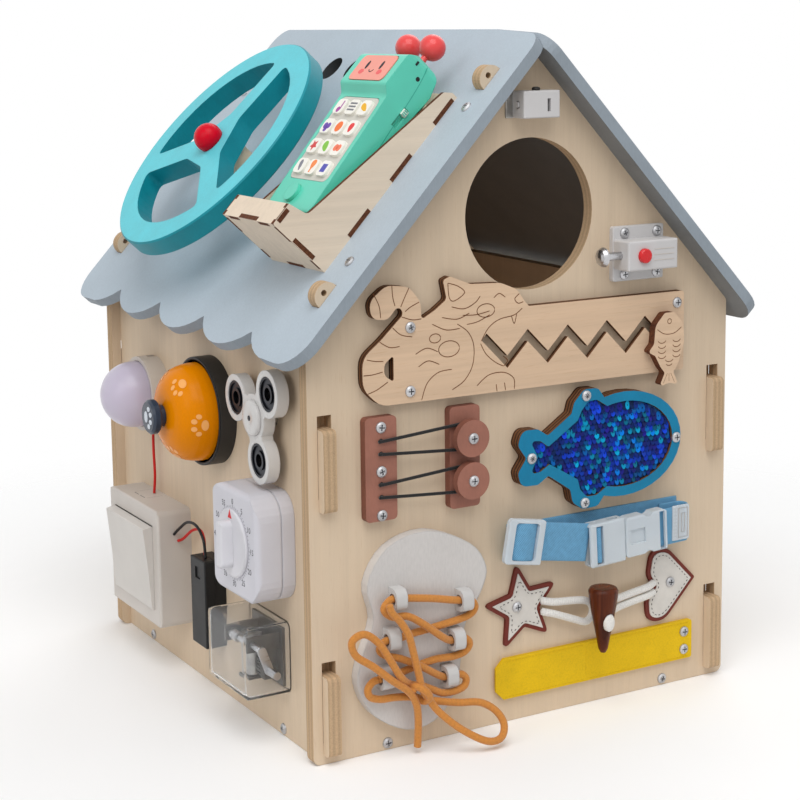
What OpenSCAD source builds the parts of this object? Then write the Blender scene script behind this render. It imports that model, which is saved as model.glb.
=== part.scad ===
// Wooden activity house: plywood walls under a pitched roof with scalloped eaves, with toys on the front
// gable, the left wall and the left roof slab. Sizes are in millimetres.
// +Z is up and the floor is z = 0. The gable with the round window faces -Y, the wall with the bell faces -X.

/* [House] */
// Width of the gable panels
panel_w = 320; // [312:1:336]
// Distance between the outer faces of the two gable panels
house_d = 326; // [320:1:346]
// Height of the gable panels at the eaves
eave_h = 263; // [258:1:272]
// Height of the gable panels at the apex
apex_h = 435; // [428:1:446]
// Thickness of the plywood panels
ply_t = 9; // [8:0.5:10]
// Distance of the side walls from the edges of the gable panels
wall_inset = 7; // [5:0.5:9]
// Height of the wall tops above the eaves
wall_rise = 3; // [0:0.5:4]
// Radius of the round window
window_r = 48; // [40:1:50]
// Distance of the window centre below the apex
window_drop = 104; // [101:1:107]
// Height of the slots for the wall hooks
slot_h = 51; // [42:1:54]
// Height of the lower slots above the floor
slot_low = 14; // [13:0.5:18]
// Height of the upper slots above the floor
slot_high = 168; // [155:1:180]
// Drop of the hooks behind the slot edge
hook_drop = 8; // [6:0.5:9]
// Length of the hook noses in front of the gable
hook_nose = 7; // [5:0.5:8]
// Free play between joined panels
fit = 0.3; // [0.2:0.05:0.5]
// Radius of the screw heads
screw_r = 3.6; // [3:0.1:4]
// Height of the screw heads
screw_h = 1.7; // [1.2:0.1:2]
// Radius of the screw shanks
shank_r = 1.6; // [1.2:0.1:2]
// Length of the screw shanks inside the panels
bite = 5; // [3:0.5:6]

/* [Roof] */
// Thickness of the roof slabs
roof_t = 7.5; // [7:0.5:8.5]
// Overhang of the roof in front of and behind the gables
overhang = 18; // [14:1:22]
// Length of the slope from the ridge to the tips of the scallops
roof_run = 255; // [251:1:262]
// Number of scallops along an eave
scallops = 5; // [4:1:6]
// Depth of the scallops
scallop_depth = 15; // [10:1:18]
// Radius of the roof corners at the ridge
roof_corner = 14; // [10:1:18]
// Radius of the roof corners at the eaves
tip_corner = 26; // [18:1:30]
// Width of the gable lugs that pass through the roof
lug_w = 17; // [15:1:19]
// Distance of the upper lugs down the slope
lug_high = 33; // [30:1:36]
// Distance of the lower lugs down the slope
lug_low = 204; // [193:1:209]
// Diameter of the two holes near the ridge
hole_d = 20; // [16:1:22]

/* [Steering wheel] */
// Outer radius of the wheel
wheel_r = 89.5; // [86:0.5:94]
// Width of the rim
rim_w = 18; // [14:1:22]
// Thickness of the wheel
wheel_t = 14; // [10:1:16]
// Width of the spokes
spoke_w = 18; // [14:1:22]
// Radius of the hub
hub_r = 25; // [23:1:30]
// Distance of the wheel centre down the slope
wheel_down = 132; // [128:1:138]
// Distance of the wheel centre behind the middle of the roof
wheel_back = 39; // [38:1:44]
// Height of the post under the wheel
post_h = 27.5; // [24:0.5:34]
// Radius of the post
post_r = 13; // [10:1:16]
// Radius of the axle
axle_r = 4; // [3:0.1:5]
// Radius of the ball on the hub
ball_r = 10; // [8:0.5:12]

/* [Phone] */
// Width of the phone
phone_w = 59; // [55:1:62]
// Distance of the holder down the slope
holder_down = 49; // [46:1:52]
// Length of the holder
holder_len = 140; // [138:1:146]
// Outer width of the holder
holder_w = 72; // [71:1:74]
// Height of the holder at its lower end
holder_h = 46.5; // [45:0.5:51]
// Thickness of the holder sheets
sheet_t = 3; // [2.5:0.5:3.5]
// Distance of the holder in front of the middle of the roof
holder_front = 104; // [102:1:110]
// Size of a key
key_w = 11; // [9:0.5:12]
// Height of the keys
key_h = 2; // [1.5:0.1:2.5]
// Radius of the antenna balls
antenna_r = 8.5; // [7:0.5:9.5]

/* [Lamp and bell] */
// Radius of the lamp socket
lamp_r = 26.5; // [25.5:0.5:28]
// Depth of the lamp socket
lamp_d = 13.5; // [12:0.5:17]
// Radius of the lamp globe
globe_r = 23.5; // [21:0.5:24]
// Wall of the lamp globe
globe_wall = 1.6; // [1.2:0.1:2.5]
// Radius of the bell base
bell_base_r = 36.5; // [35.5:0.5:39]
// Radius of the bell dome
bell_r = 33; // [30:0.5:33.5]
// Height of the bell dome
bell_h = 30; // [27:1:33]
// Wall of the bell dome
bell_wall = 1.6; // [1.2:0.1:2.5]
// Radius of the bell button
bell_button_r = 11.5; // [10:0.5:13]
// Press travel of the bell button
bell_press = 3.5; // [2:0.5:4]

/* [Spinner] */
// Distance of the lobes from the spinner axis
lobe_at = 27; // [26:0.5:28]
// Radius of the lobes
lobe_r = 15; // [13.5:0.5:16]
// Outer radius of the bearing rings
ring_r = 11; // [9:0.5:11.5]
// Bore radius of the bearing rings
ring_bore = 4.2; // [3.5:0.1:5]
// Thickness of the spinner body
spinner_t = 8; // [7:0.5:10]

/* [Switch and boxes] */
// Width of the switch box
switch_w = 90; // [84:1:94]
// Height of the switch box
switch_h = 84; // [78:1:88]
// Depth of the switch box
switch_d = 25; // [23:1:28]
// Width of the rocker
rocker_w = 70; // [60:1:74]
// Height of the rocker
rocker_h = 60; // [52:1:64]
// Tilt of the rocker to each side
rocker_tilt = 5; // [4:1:6]
// Width of the timer
timer_w = 66; // [60:1:68]
// Height of the timer
timer_h = 70; // [64:1:72]
// Depth of the timer case
timer_d = 27; // [22:1:30]
// Radius of the timer dial
dial_r = 22; // [19:0.5:24]
// Width of the battery box
battery_w = 24; // [20:1:27]
// Height of the battery box
battery_h = 61; // [50:1:61]
// Depth of the battery box
battery_d = 15.5; // [13:0.5:18]
// Width of the music box
music_w = 60; // [58:1:64]
// Height of the music box
music_h = 47; // [46:1:50]
// Depth of the music box
music_d = 31; // [30:1:36]
// Wall of the music box
music_wall = 1.8; // [1.5:0.1:2.5]
// Radius of the wires
wire_r = 1; // [0.8:0.1:1.2]

/* [Latch and catch] */
// Width of the catch under the apex
catch_w = 27; // [24:1:30]
// Height of the catch
catch_h = 17; // [14:1:18]
// Depth of the catch
catch_d = 14; // [12:1:16]
// Width of the latch plate
latch_w = 41; // [39:1:43]
// Height of the latch plate
latch_h = 36; // [34:1:38]
// Thickness of the latch plate
latch_t = 4; // [3:0.5:5]
// Radius of the bolt
bolt_r = 2.6; // [2:0.1:3]
// Play of sliding and turning pieces in their bores
play = 0.1; // [0.05:0.01:0.12]
// Slide of the bolt
bolt_slide = 9; // [5:1:10]
// Radius of the latch button
button_r = 4.7; // [4:0.1:5.5]

/* [Cat board] */
// Thickness of the cat board and the elastic plates
board_t = 6; // [5.5:0.5:7]
// Width of the zigzag slot
zig_w = 5.6; // [5:0.1:6.5]
// Step of the zigzag slot
zig_step = 15.4; // [15:0.1:15.8]
// Height of the zigzag slot
zig_h = 15.5; // [14:0.5:17]
// Thickness of the fish slider
fish_t = 6; // [4:0.5:8]

/* [Elastic loops] */
// Width of the elastic plates
plate_w = 22; // [20:0.5:24]
// Height of the elastic plates
plate_h = 65; // [64:1:67]
// Radius of the peg discs
disc_r = 11.8; // [10:0.1:12.5]
// Radius of the peg necks
neck_r = 7; // [6:0.1:8]
// Radius of the elastic cords
elastic_r = 1.3; // [1:0.1:1.5]

/* [Sequin fish] */
// Thickness of the sequin fish
sequin_t = 9; // [8:0.5:10]
// Depth of the frame above the sequin cloth
frame_t = 3; // [2:0.5:4]

/* [Straps] */
// Width of the webbing
web_w = 25; // [23:1:26]
// Thickness of the webbing
web_t = 1.6; // [1.2:0.1:2]
// Width of the buckle
buckle_w = 29.5; // [29.5:0.5:32]
// Thickness of the buckle
buckle_t = 8; // [7.5:0.5:9]
// Width of the hook strap
hook_w = 27; // [24:1:28]
// Thickness of the hook strap layers
hook_t = 1.6; // [1.2:0.1:2]

/* [Toggle] */
// Radius of the star tips
star_r = 30; // [26:1:31]
// Thickness of the leather patches
leather_t = 3; // [2:0.5:3]
// Radius of the toggle cords
toggle_r = 2.6; // [2.2:0.1:2.7]
// Length of the horn toggle
horn_l = 44.5; // [40:0.5:47]
// Radius of the horn toggle
horn_r = 9.9; // [8.5:0.1:10.5]

/* [Shoe] */
// Thickness of the shoe plate
shoe_t = 8; // [7:0.5:8]
// Radius of the lace
lace_r = 2.4; // [2:0.1:2.5]
// Width of the lace lugs
eye_w = 8; // [6:0.5:9]
// Height of the lace lugs
eye_h = 10.5; // [10:0.5:11.5]

/* [Hidden] */
$fn = 48;

pitch = atan2(apex_h - eave_h, panel_w / 2);
front_y = house_d / 2;
inner_y = front_y - ply_t;
wall_x = panel_w / 2 - wall_inset;
inner_x = wall_x - ply_t;
wall_h = eave_h + wall_rise;
slab_l = house_d + 2 * overhang;
lug_y = front_y - ply_t / 2;
lug_h = 8.5;
ridge_drop = 4;
ridge_end = 55;
step = 15;
window_z = apex_h - window_drop;

wheel_z = roof_t + post_h;
spoke_at = [51, 171, 291];

// Phone profile in the roof plane: distance down the slope and height over the roof underside
rib_h = 1.5;
phone_lift = roof_t + sheet_t + rib_h;
face_tilt = 4;
face_z = phone_lift + 28.8;
face_down = 113;
stem_r = 2.2;
antenna_at = 30;

lamp_at = [-88, 191.5];
bell_at = [12, 196.5];
spin_at = [103, 209];
switch_at = [-78, 76];
timer_at = [97, 129];
battery_at = [12, 65];
music_at = [90, 55];
bell_base_t = 7.5;
spin_base = 6;
rocker_axis = switch_d - 5;
crank_z = 9;
crank_off = 21;
crank_arm = 14.5;
drum_x = -4;
drum_r = 6;
gear_r = 6.5;
worm_r = 3.2;
drum_off = crank_off - gear_r - worm_r - fit / 2;

// Latch beside the right slope of the front gable
latch_z = eave_h + 0.22 * (apex_h - eave_h);
slope_x = (apex_h - latch_z - latch_h / 2) * panel_w / 2 / (apex_h - eave_h);
latch_at = [slope_x - latch_w / 2 - 5, latch_z];
bolt_off = latch_t + 7;
house_t = 16;

zig_x = -36.5;
zig_z = 239.5;
zig_n = 9;
fish_at = [zig_x + zig_n * zig_step, zig_z];
foot_t = 2;
foot_r = 4.6;

elastic_x = [47 - panel_w / 2, 107 - panel_w / 2];
elastic_z = 182.5;
peg_z = [196, 169];

strap_at = [-15, 124];
strap_z = 119.5;
strap_tilt = -10;
strap_off = 12;
buckle_at = [36, 112.5];
buckle_tilt = 3;
tail_end = 121;

horn_at = [44.5, 62.8];
horn_off = 19;
horn_eye = 7;
star_at = [-8, 76];

hook_z = 30;
hook_fold = 42;
hook_left = -29;
hook_right = wall_x - 22;

eye_spots = [[-106.5, 101.5], [-111, 76.5], [-116, 52.5], [-58.5, 92.5], [-64.5, 68], [-70, 45]];

cat_screws = [[-91.5, 268], [-92, 228.5], [113, 265.5]];
latch_screws = [for (x = [-11.5, 14.5], z = [13.5, -13.5]) latch_at + [x, z]];
elastic_screws = [for (z = [208.5, 181, 153.5]) [elastic_x[0], z]];
fish_screws = [[37.5, 211.5], [111, 175], [-5, 175.5], [36.5, 140.5]];
patch_screws = [[-12.5, 77], [112, 73]];
hook_screws = [for (z = [36, 23.5]) [hook_right - 7, z]];
foot_screws = [[-108, 4.5], [108, 4.5]];
front_screws = concat(cat_screws, latch_screws, elastic_screws, fish_screws, patch_screws, hook_screws,
                      foot_screws);
roof_screws = [56, 178];

function xy(p) = [p[0], p[1]];

// Arc that rounds the corner p between its neighbours a and b
function corner(a, p, b, r) =
    let(la = norm(a - p), lb = norm(b - p), u = (a - p) / la, v = (b - p) / lb,
        th = acos(max(-1, min(1, u * v))))
    r <= 0 || th > 176 ? [p] :
    let(t = min(r / tan(th / 2), 0.49 * min(la, lb)), re = t * tan(th / 2),
        c = p + (u + v) / norm(u + v) * re / sin(th / 2), s = p + u * t - c, e = p + v * t - c,
        a0 = atan2(s[1], s[0]), d = atan2(e[1], e[0]) - a0,
        da = d > 180 ? d - 360 : (d < -180 ? d + 360 : d), n = max(2, ceil(abs(da) / step)))
    [for (k = [0:n]) c + re * [cos(a0 + da * k / n), sin(a0 + da * k / n)]];

// Outline whose corners are rounded by the third number of each point
function rounded(p) =
    [for (i = [0:len(p) - 1])
        let(n = len(p), q = p[i])
        each corner(xy(p[(i + n - 1) % n]), xy(q), xy(p[(i + 1) % n]), len(q) > 2 ? q[2] : 0)];

function box_outline(w, h, r) =
    rounded([[-w / 2, -h / 2, r], [w / 2, -h / 2, r], [w / 2, h / 2, r], [-w / 2, h / 2, r]]);

function polar(r, a) = [r * cos(a), r * sin(a)];

// Band of width w along the middle line p, with mitred bends and square ends
function side(p, i, w) =
    let(n = len(p), d1 = p[max(i, 1)] - p[max(i, 1) - 1], d2 = p[min(i, n - 2) + 1] - p[min(i, n - 2)],
        u1 = d1 / norm(d1), u2 = d2 / norm(d2), n1 = [-u1[1], u1[0]], n2 = [-u2[1], u2[0]], m = n1 + n2)
    p[i] + m * w / (m * n1 * norm(n1) * 2);
function band(p, w) =
    concat([for (i = [0:len(p) - 1]) side(p, i, w)], [for (i = [len(p) - 1:-1:0]) side(p, i, -w)]);

// Point of a smooth line at the share t of the way from b to c
function between(a, b, c, d, t) =
    b + ((c - a) * t + (2 * a - 5 * b + 4 * c - d) * t * t + (3 * b - a - 3 * c + d) * t * t * t) / 2;
// Smooth line through the points p, n steps from each to the next
function smooth(p, n) =
    [for (i = [0:len(p) - 2])
        let(a = p[max(i - 1, 0)], b = p[i], c = p[i + 1], d = p[min(i + 2, len(p) - 1)])
        for (k = [0:n - 1]) between(a, b, c, d, k / n),
     p[len(p) - 1]];
// The same for a closed line
function smooth_ring(p, n) =
    let(m = len(p))
    [for (i = [0:m - 1], k = [0:n - 1])
        between(p[(i + m - 1) % m], p[i], p[(i + 1) % m], p[(i + 2) % m], k / n)];

function unit(v) = v / norm(v);
function tangent(p, i) = unit(p[min(i + 1, len(p) - 1)] - p[max(i - 1, 0)]);
function first_normal(t) = abs(t[2]) < 0.9 ? unit(cross(t, [0, 0, 1])) : unit(cross(t, [1, 0, 0]));
function carry(p, i, q) =
    let(t = tangent(p, i), u = unit(q - (q * t) * t))
    i == len(p) - 1 ? [u] : concat([u], carry(p, i + 1, u));

// Round cord of radius r along the line p
module tube(p, r, n = 8) {
    q = carry(p, 0, first_normal(tangent(p, 0)));
    m = len(p);
    points = [for (i = [0:m - 1])
        let(t = tangent(p, i), v = cross(t, q[i]))
        for (k = [0:n - 1]) p[i] + r * (cos(360 * k / n) * q[i] + sin(360 * k / n) * v)];
    faces = concat(
        [[for (k = [0:n - 1]) k]],
        [for (i = [0:m - 2], k = [0:n - 1])
            [i * n + k, (i + 1) * n + k, (i + 1) * n + (k + 1) % n, i * n + (k + 1) % n]],
        [[for (k = [n - 1:-1:0]) (m - 1) * n + k]]);
    polyhedron(points, faces);
}

// Front gable: x to the right, y up, z out of the face
module on_front() translate([0, -front_y, 0]) rotate([90, 0, 0]) children();
module on_back() mirror([0, 1, 0]) on_front() children();
// Left wall: x to the front, y up, z out of the face
module on_left() translate([-wall_x, 0, 0]) rotate([90, 0, -90]) children();
module on_right() mirror([1, 0, 0]) on_left() children();
// Left roof: x down the slope, y to the front, z up from the underside
module on_roof() translate([0, 0, apex_h]) rotate([0, pitch, 180]) children();
module on_right_roof() mirror([1, 0, 0]) on_roof() children();
// Key face of the phone: x down the slope, y to the front, z out of the face
module on_phone_face()
    on_roof() translate([face_down, holder_front, face_z]) rotate([0, face_tilt, 0]) children();
module on_strap() on_front() translate([strap_at[0], strap_at[1], 0]) rotate(strap_tilt) children();
module on_buckle() on_front() at(buckle_at) rotate(buckle_tilt) children();

// Outline in the x and z directions, drawn out along y from y0 to y1
module along_y(p, y0, y1) translate([0, y1, 0]) rotate([90, 0, 0]) linear_extrude(y1 - y0) polygon(p);
// Outline in the y and z directions, drawn out along x from x0 to x1
module along_x(p, x0, x1) translate([x0, 0, 0]) rotate([90, 0, 90]) linear_extrude(x1 - x0) polygon(p);

module slab(p, t) linear_extrude(t) polygon(p);

module box(x0, x1, y0, y1, z0, z1) translate([x0, y0, z0]) cube([x1 - x0, y1 - y0, z1 - z0]);

// Box on the wall with corners of radius r and front edges of radius e
module soft_box(w, h, d, r, e) {
    intersection() {
        slab(box_outline(w, h, r), d);
        along_y(rounded([[-w / 2, 0], [w / 2, 0], [w / 2, d, e], [-w / 2, d, e]]), -h, h);
        along_x(rounded([[-h / 2, 0], [h / 2, 0], [h / 2, d, e], [-h / 2, d, e]]), -w, w);
    }
}

module drill(spots, z0, z1) {
    for (s = spots) {
        translate([s[0], s[1], z0]) cylinder(h = z1 - z0, r = shank_r + play);
    }
}

// Pan head screw with a crossed recess, seated at z
module screw(s, z, depth) {
    translate([s[0], s[1], z]) {
        difference() {
            union() {
                rotate_extrude() polygon([[0, 0], [screw_r, 0], [screw_r - 0.2, screw_h * 0.5],
                                          [screw_r * 0.65, screw_h * 0.9], [0, screw_h]]);
                translate([0, 0, -depth]) cylinder(h = depth, r = shank_r);
            }
            box(-screw_r * 0.55, screw_r * 0.55, -0.4, 0.4, screw_h - 0.9, screw_h + 1);
            box(-0.4, 0.4, -screw_r * 0.55, screw_r * 0.55, screw_h - 0.9, screw_h + 1);
        }
    }
}

// Lugs of the gable panels, in the plane of the panel
module lug(d) {
    translate([0, apex_h]) rotate(-pitch) difference() {
        polygon(rounded([[d - lug_w / 2, -ply_t], [d + lug_w / 2, -ply_t], [d + lug_w / 2, roof_t + lug_h, 8],
                         [d - lug_w / 2, roof_t + lug_h, 8]]));
        translate([d, roof_t + 3.4]) circle(r = 1.9);
    }
}

module gable_plate() {
    w = panel_w / 2;
    difference() {
        union() {
            polygon(rounded([[-w, 0, 5], [w, 0, 5], [w, eave_h, 4], [0, apex_h], [-w, eave_h, 4]]));
            for (d = [lug_high, lug_low]) {
                lug(d);
                mirror([1, 0]) lug(d);
            }
        }
        for (s = [-1, 1], z = [slot_low, slot_high]) {
            translate([s * (wall_x - ply_t / 2), z + slot_h / 2])
                square([ply_t + 2 * fit, slot_h], center = true);
        }
    }
}

module front_panel() color("burlywood") on_front() difference() {
    translate([0, 0, -ply_t]) linear_extrude(ply_t) gable_plate();
    translate([0, window_z, -ply_t - 1]) cylinder(h = ply_t + 2, r = window_r, $fn = 96);
    drill(front_screws, -bite - fit, 1);
}

module back_panel() color("burlywood") on_back() difference() {
    translate([0, 0, -ply_t]) linear_extrude(ply_t) gable_plate();
    drill(foot_screws, -bite - fit, 1);
}

// Hook of a side wall, in the plane of the wall, at the slot that starts at height z
function hook(z) =
    let(x = front_y + fit / 2, low = z - hook_drop, top = low + slot_h - fit)
    [[inner_y, z + fit], [x, z + fit], [x, low], [x + hook_nose, low, 3], [x + hook_nose, top, 3],
     [inner_y, top]];
wall_edge = concat([[inner_y, 0]], hook(slot_low), hook(slot_high), [[inner_y, wall_h]]);

module wall_plate() {
    n = len(wall_edge) - 1;
    other = [for (i = [n:-1:0]) let(q = wall_edge[i]) [-q[0], q[1], len(q) > 2 ? q[2] : 0]];
    translate([0, 0, -ply_t]) slab(rounded(concat(wall_edge, other)), ply_t);
}

module left_wall() color("burlywood") on_left() difference() {
    wall_plate();
    drill(foot_screws, -bite - fit, 1);
}

module right_wall() color("burlywood") on_right() difference() {
    wall_plate();
    drill(foot_screws, -bite - fit, 1);
}

module base_panel() color("burlywood") box(-inner_x, inner_x, -inner_y, inner_y, 0, ply_t);

// Outline of a roof slab: x down the slope, y along the ridge, which drops a little at its front end
function scallop_x(t) =
    let(h = slab_l / scallops / 2, r = (h * h + scallop_depth * scallop_depth) / (2 * scallop_depth))
    roof_run - r + sqrt(r * r - t * t);
function slab_outline() =
    let(w = slab_l / 2, p = slab_l / scallops, top = -roof_t * tan(pitch))
    rounded(concat(
        [[top, -w, roof_corner], [roof_run, -w, tip_corner]],
        [for (i = [0:scallops - 1], k = [-5:5])
            if ((i > 0 || k > 0) && (i < scallops - 1 || k < 0) && (k > -5 || i == 0))
                [scallop_x(k * p / 10), -w + p * (i + 0.5) + k * p / 10]],
        [[roof_run, w, tip_corner], [top + ridge_drop, w, roof_corner], [top, w - ridge_end, ridge_end]]));

module roof_slab() {
    k = tan(pitch);
    g = fit / 3;
    top = roof_t + 5;
    difference() {
        slab(slab_outline(), roof_t);
        along_y([[-60, -5], [g + 5 * k, -5], [g - top * k, top], [-60, top]], -slab_l, slab_l);
        for (s = [-1, 1], d = [lug_high, lug_low]) {
            translate([d, s * lug_y, roof_t / 2])
                cube([lug_w + 2 * fit, ply_t + 2 * fit, 2 * roof_t], center = true);
        }
        for (s = [-1, 1]) {
            drill([for (d = roof_screws) [d, s * lug_y]], 1, roof_t + 1);
        }
    }
}

module roof_left() color("lightsteelblue") on_roof() difference() {
    roof_slab();
    for (y = [-52, -19]) {
        translate([29, y, -1]) cylinder(h = roof_t + 2, r = hole_d / 2);
    }
}

module roof_right() color("lightsteelblue") on_right_roof() roof_slab();

module screws() color("silver") {
    on_front() {
        for (s = cat_screws) screw(s, board_t, board_t + bite);
        for (s = latch_screws) screw(s, latch_t, latch_t + bite);
        for (s = elastic_screws) screw(s, board_t, board_t + bite);
        for (s = fish_screws) screw(s, sequin_t, sequin_t + bite);
        for (s = patch_screws) screw(s, leather_t, leather_t + bite);
        for (s = hook_screws) screw(s, 2 * hook_t + fit, 2 * hook_t + fit + bite);
        for (s = foot_screws) screw(s, 0, bite);
        for (z = peg_z) screw([elastic_x[1], z], board_t + 10, 3);
    }
    on_back() for (s = foot_screws) screw(s, 0, bite);
    on_left() for (s = foot_screws) screw(s, 0, bite);
    on_right() for (s = foot_screws) screw(s, 0, bite);
    on_roof() for (s = [-1, 1], d = roof_screws) screw([d, s * lug_y], roof_t, roof_t - 2);
    on_right_roof() for (s = [-1, 1], d = roof_screws) screw([d, s * lug_y], roof_t, roof_t - 2);
}

module on_wheel() on_roof() translate([wheel_down, -wheel_back, 0]) children();

module wheel_post() color("burlywood") on_wheel() {
    translate([0, 0, roof_t]) cylinder(h = post_h - fit, r = post_r);
    translate([0, 0, roof_t + 1]) cylinder(h = post_h + wheel_t - 2, r = axle_r);
}

// Opening between two spokes of the wheel
function wheel_opening(a) =
    let(r1 = wheel_r - rim_w, h = spoke_w / 2, a1 = a + asin(h / r1), a2 = a + 120 - asin(h / r1),
        b1 = a + asin(h / hub_r), b2 = a + 120 - asin(h / hub_r))
    rounded(concat(
        [concat(polar(r1, a1), 9)],
        [for (k = [1:15]) polar(r1, a1 + (a2 - a1) * k / 16)],
        [concat(polar(r1, a2), 9), concat(polar(hub_r, b2), 9)],
        [concat(polar(hub_r, b1), 9)]));

module steering_wheel() color("mediumturquoise") on_wheel() translate([0, 0, wheel_z]) difference() {
    rotate_extrude($fn = 96) polygon([[0, 0], [wheel_r - 1, 0], [wheel_r, 1], [wheel_r, wheel_t - 1],
                                      [wheel_r - 1, wheel_t], [0, wheel_t]]);
    for (a = spoke_at) translate([0, 0, -1]) slab(wheel_opening(a), wheel_t + 2);
    translate([0, 0, -1]) cylinder(h = wheel_t + 2, r = axle_r + play);
}

module hub_ball() color("red") on_wheel() translate([0, 0, wheel_z + wheel_t]) intersection() {
    translate([0, 0, ball_r * 0.4]) sphere(r = ball_r);
    cylinder(h = 3 * ball_r, r = 2 * ball_r);
}

module holder_box() color("wheat") on_roof() translate([holder_down, holder_front, roof_t]) {
    l = holder_len;
    h = holder_h;
    w = holder_w / 2;
    cheek = rounded([[0, 0], [l, 0], [l, h, 1], [l - 16, h, 1], [l - 19, h - 14, 4], [4, rib_h + 8, 2],
                     [0, rib_h + 3, 1]]);
    along_y(cheek, -w, -w + sheet_t);
    along_y(cheek, w - sheet_t, w);
    box(0, l, -w + 1, w - 1, 0, sheet_t);
    box(l - sheet_t, l, -w + 1, w - 1, 0, h);
    box(l - 16, l, -w + 1, w - 1, h - sheet_t, h);
    box(16, 16 + sheet_t, -w + 1, w - 1, 1, sheet_t + rib_h + 6.4);
    box(100, 100 + sheet_t, -w + 1, w - 1, 1, sheet_t + rib_h + 13.2);
}

// Side profile of the phone, measured from the holder floor
function phone_profile() =
    rounded([[60, phone_lift + 6.8, 2], [168.5, phone_lift + 15.6, 4], [168.5, phone_lift + 25, 4],
             [79, phone_lift + 31.2, 4], [74, phone_lift + 37, 3], [50, phone_lift + 37, 5],
             [44, phone_lift + 28, 4], [45.5, phone_lift + 11, 6]]);

module phone_shell() color("mediumaquamarine") difference() {
    on_roof() difference() {
        intersection() {
            along_y(phone_profile(), holder_front - phone_w / 2, holder_front + phone_w / 2);
            translate([106, holder_front, 0]) slab(box_outline(126, phone_w, 9), 80);
        }
        translate([62, holder_front, phone_lift + 36]) slab(box_outline(20.6, 44.6, 4), 5);
        for (y = [-15, 15]) {
            translate([40, holder_front + y, phone_lift + 20]) rotate([0, 90, 0])
                cylinder(h = 10, r = stem_r + play);
        }
        box(76, 90, holder_front + phone_w / 2 - 2, holder_front + phone_w / 2 + 1, phone_lift + 13,
            phone_lift + 17);
    }
    on_phone_face() {
        translate([0, 0, -2.6]) slab(box_outline(64, 50, 5), 9);
        translate([42.5, -5, -3]) cylinder(h = 9, r = 6.5 + play);
    }
}

module phone_screen() color("salmon") on_roof() translate([62, holder_front, phone_lift + 36])
    slab(box_outline(20, 44, 4), 1.5);

module phone_keypad() color("ivory") on_phone_face() {
    translate([0, 0, -1.6]) slab(box_outline(63.4, 49.4, 4.8), 1.6);
    for (i = [-1.5:1.5], j = [-1:1]) {
        translate([i * 15.4, j * 15.6, -0.5]) slab(box_outline(key_w, key_w + 1, 3), key_h + 0.5);
    }
}

module phone_button() color("mediumaquamarine") on_phone_face() translate([42.5, -5, -1.6])
    cylinder(h = 4, r = 6.5);

module phone_switch() color("whitesmoke") on_roof()
    box(77, 81, holder_front + phone_w / 2 - 1.8, holder_front + phone_w / 2 + 1.2, phone_lift + 13 + play,
        phone_lift + 17 - play);

module phone_antennas() color("tomato") on_roof() for (y = [-15, 15]) {
    translate([antenna_at, holder_front + y, phone_lift + 20]) {
        sphere(r = antenna_r);
        rotate([0, 90, 0]) cylinder(h = 49 - antenna_at, r = stem_r);
    }
}

module at(p) translate([p[0], p[1], 0]) children();

module lamp_socket() color("antiquewhite") on_left() at(lamp_at) difference() {
    cylinder(h = lamp_d, r = lamp_r);
    translate([0, 0, lamp_d - 3]) cylinder(h = 6, r = globe_r + play);
    box(-3, 3, lamp_r - 6, lamp_r + 1, -1, 7);
    box(-3, 3, -lamp_r - 1, -lamp_r + 6, -1, 7);
}

module lamp_globe() color("lavender") on_left() at(lamp_at) translate([0, 0, lamp_d - 3]) intersection() {
    difference() {
        translate([0, 0, globe_r * 0.3]) sphere(r = globe_r);
        translate([0, 0, globe_r * 0.3]) sphere(r = globe_r - globe_wall);
    }
    cylinder(h = 2 * globe_r, r = 2 * globe_r);
}

module bell_base() color("dimgray") on_left() at(bell_at) rotate_extrude($fn = 96)
    polygon([[0, 0], [bell_base_r, 0], [bell_base_r, 11], [bell_base_r - 1, 12], [bell_r + 1.5, 12],
             [bell_r + 1.5, bell_base_t], [0, bell_base_t]]);

// Full curve of the dome from its rim to its top
dome_n = 12;
function dome_line(r, h) =
    [for (k = [0:dome_n]) let(a = 90 * k / dome_n) [r * pow(cos(a), 0.66), h * pow(sin(a), 0.66)]];

module bell_dome() color("orange") on_left() at(bell_at) translate([0, 0, bell_base_t]) difference() {
    rotate_extrude($fn = 96)
        polygon(concat(dome_line(bell_r, bell_h), [for (k = [dome_n:-1:0]) dome_line(bell_r - bell_wall,
                                                                                   bell_h - bell_wall)[k]]));
    cylinder(h = 2 * bell_h, r = 7 + play);
}

module bell_button() color("midnightblue") on_left() at(bell_at) translate([0, 0, bell_base_t + bell_h]) {
    translate([0, 0, -10]) cylinder(h = 11 + bell_press, r = 7);
    translate([0, 0, bell_press + 0.6]) rotate_extrude()
        polygon([[0, 0], [bell_button_r - 1, 0], [bell_button_r, 1], [bell_button_r, 4.5],
                 [bell_button_r - 1.5, 6], [0, 6.4]]);
}

module spinner_axle() color("dimgray") on_left() at(spin_at) {
    cylinder(h = spin_base - fit, r = 7);
    translate([0, 0, 1]) cylinder(h = spin_base + spinner_t - 1, r = ring_bore - play);
    translate([0, 0, spin_base + spinner_t - 0.5]) cylinder(h = 3, r = ring_bore - play);
}

module spinner_body() color("whitesmoke") on_left() at(spin_at) translate([0, 0, spin_base])
    linear_extrude(spinner_t) difference() {
        union() {
            circle(r = ring_r + 4);
            for (a = [162, 42, -78]) rotate(a) {
                translate([0, -9]) square([lobe_at, 18]);
                translate([lobe_at, 0]) circle(r = lobe_r);
            }
        }
        circle(r = ring_r + play / 2);
        for (a = [162, 42, -78]) translate(polar(lobe_at, a)) circle(r = ring_r + play / 2);
    }

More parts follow.
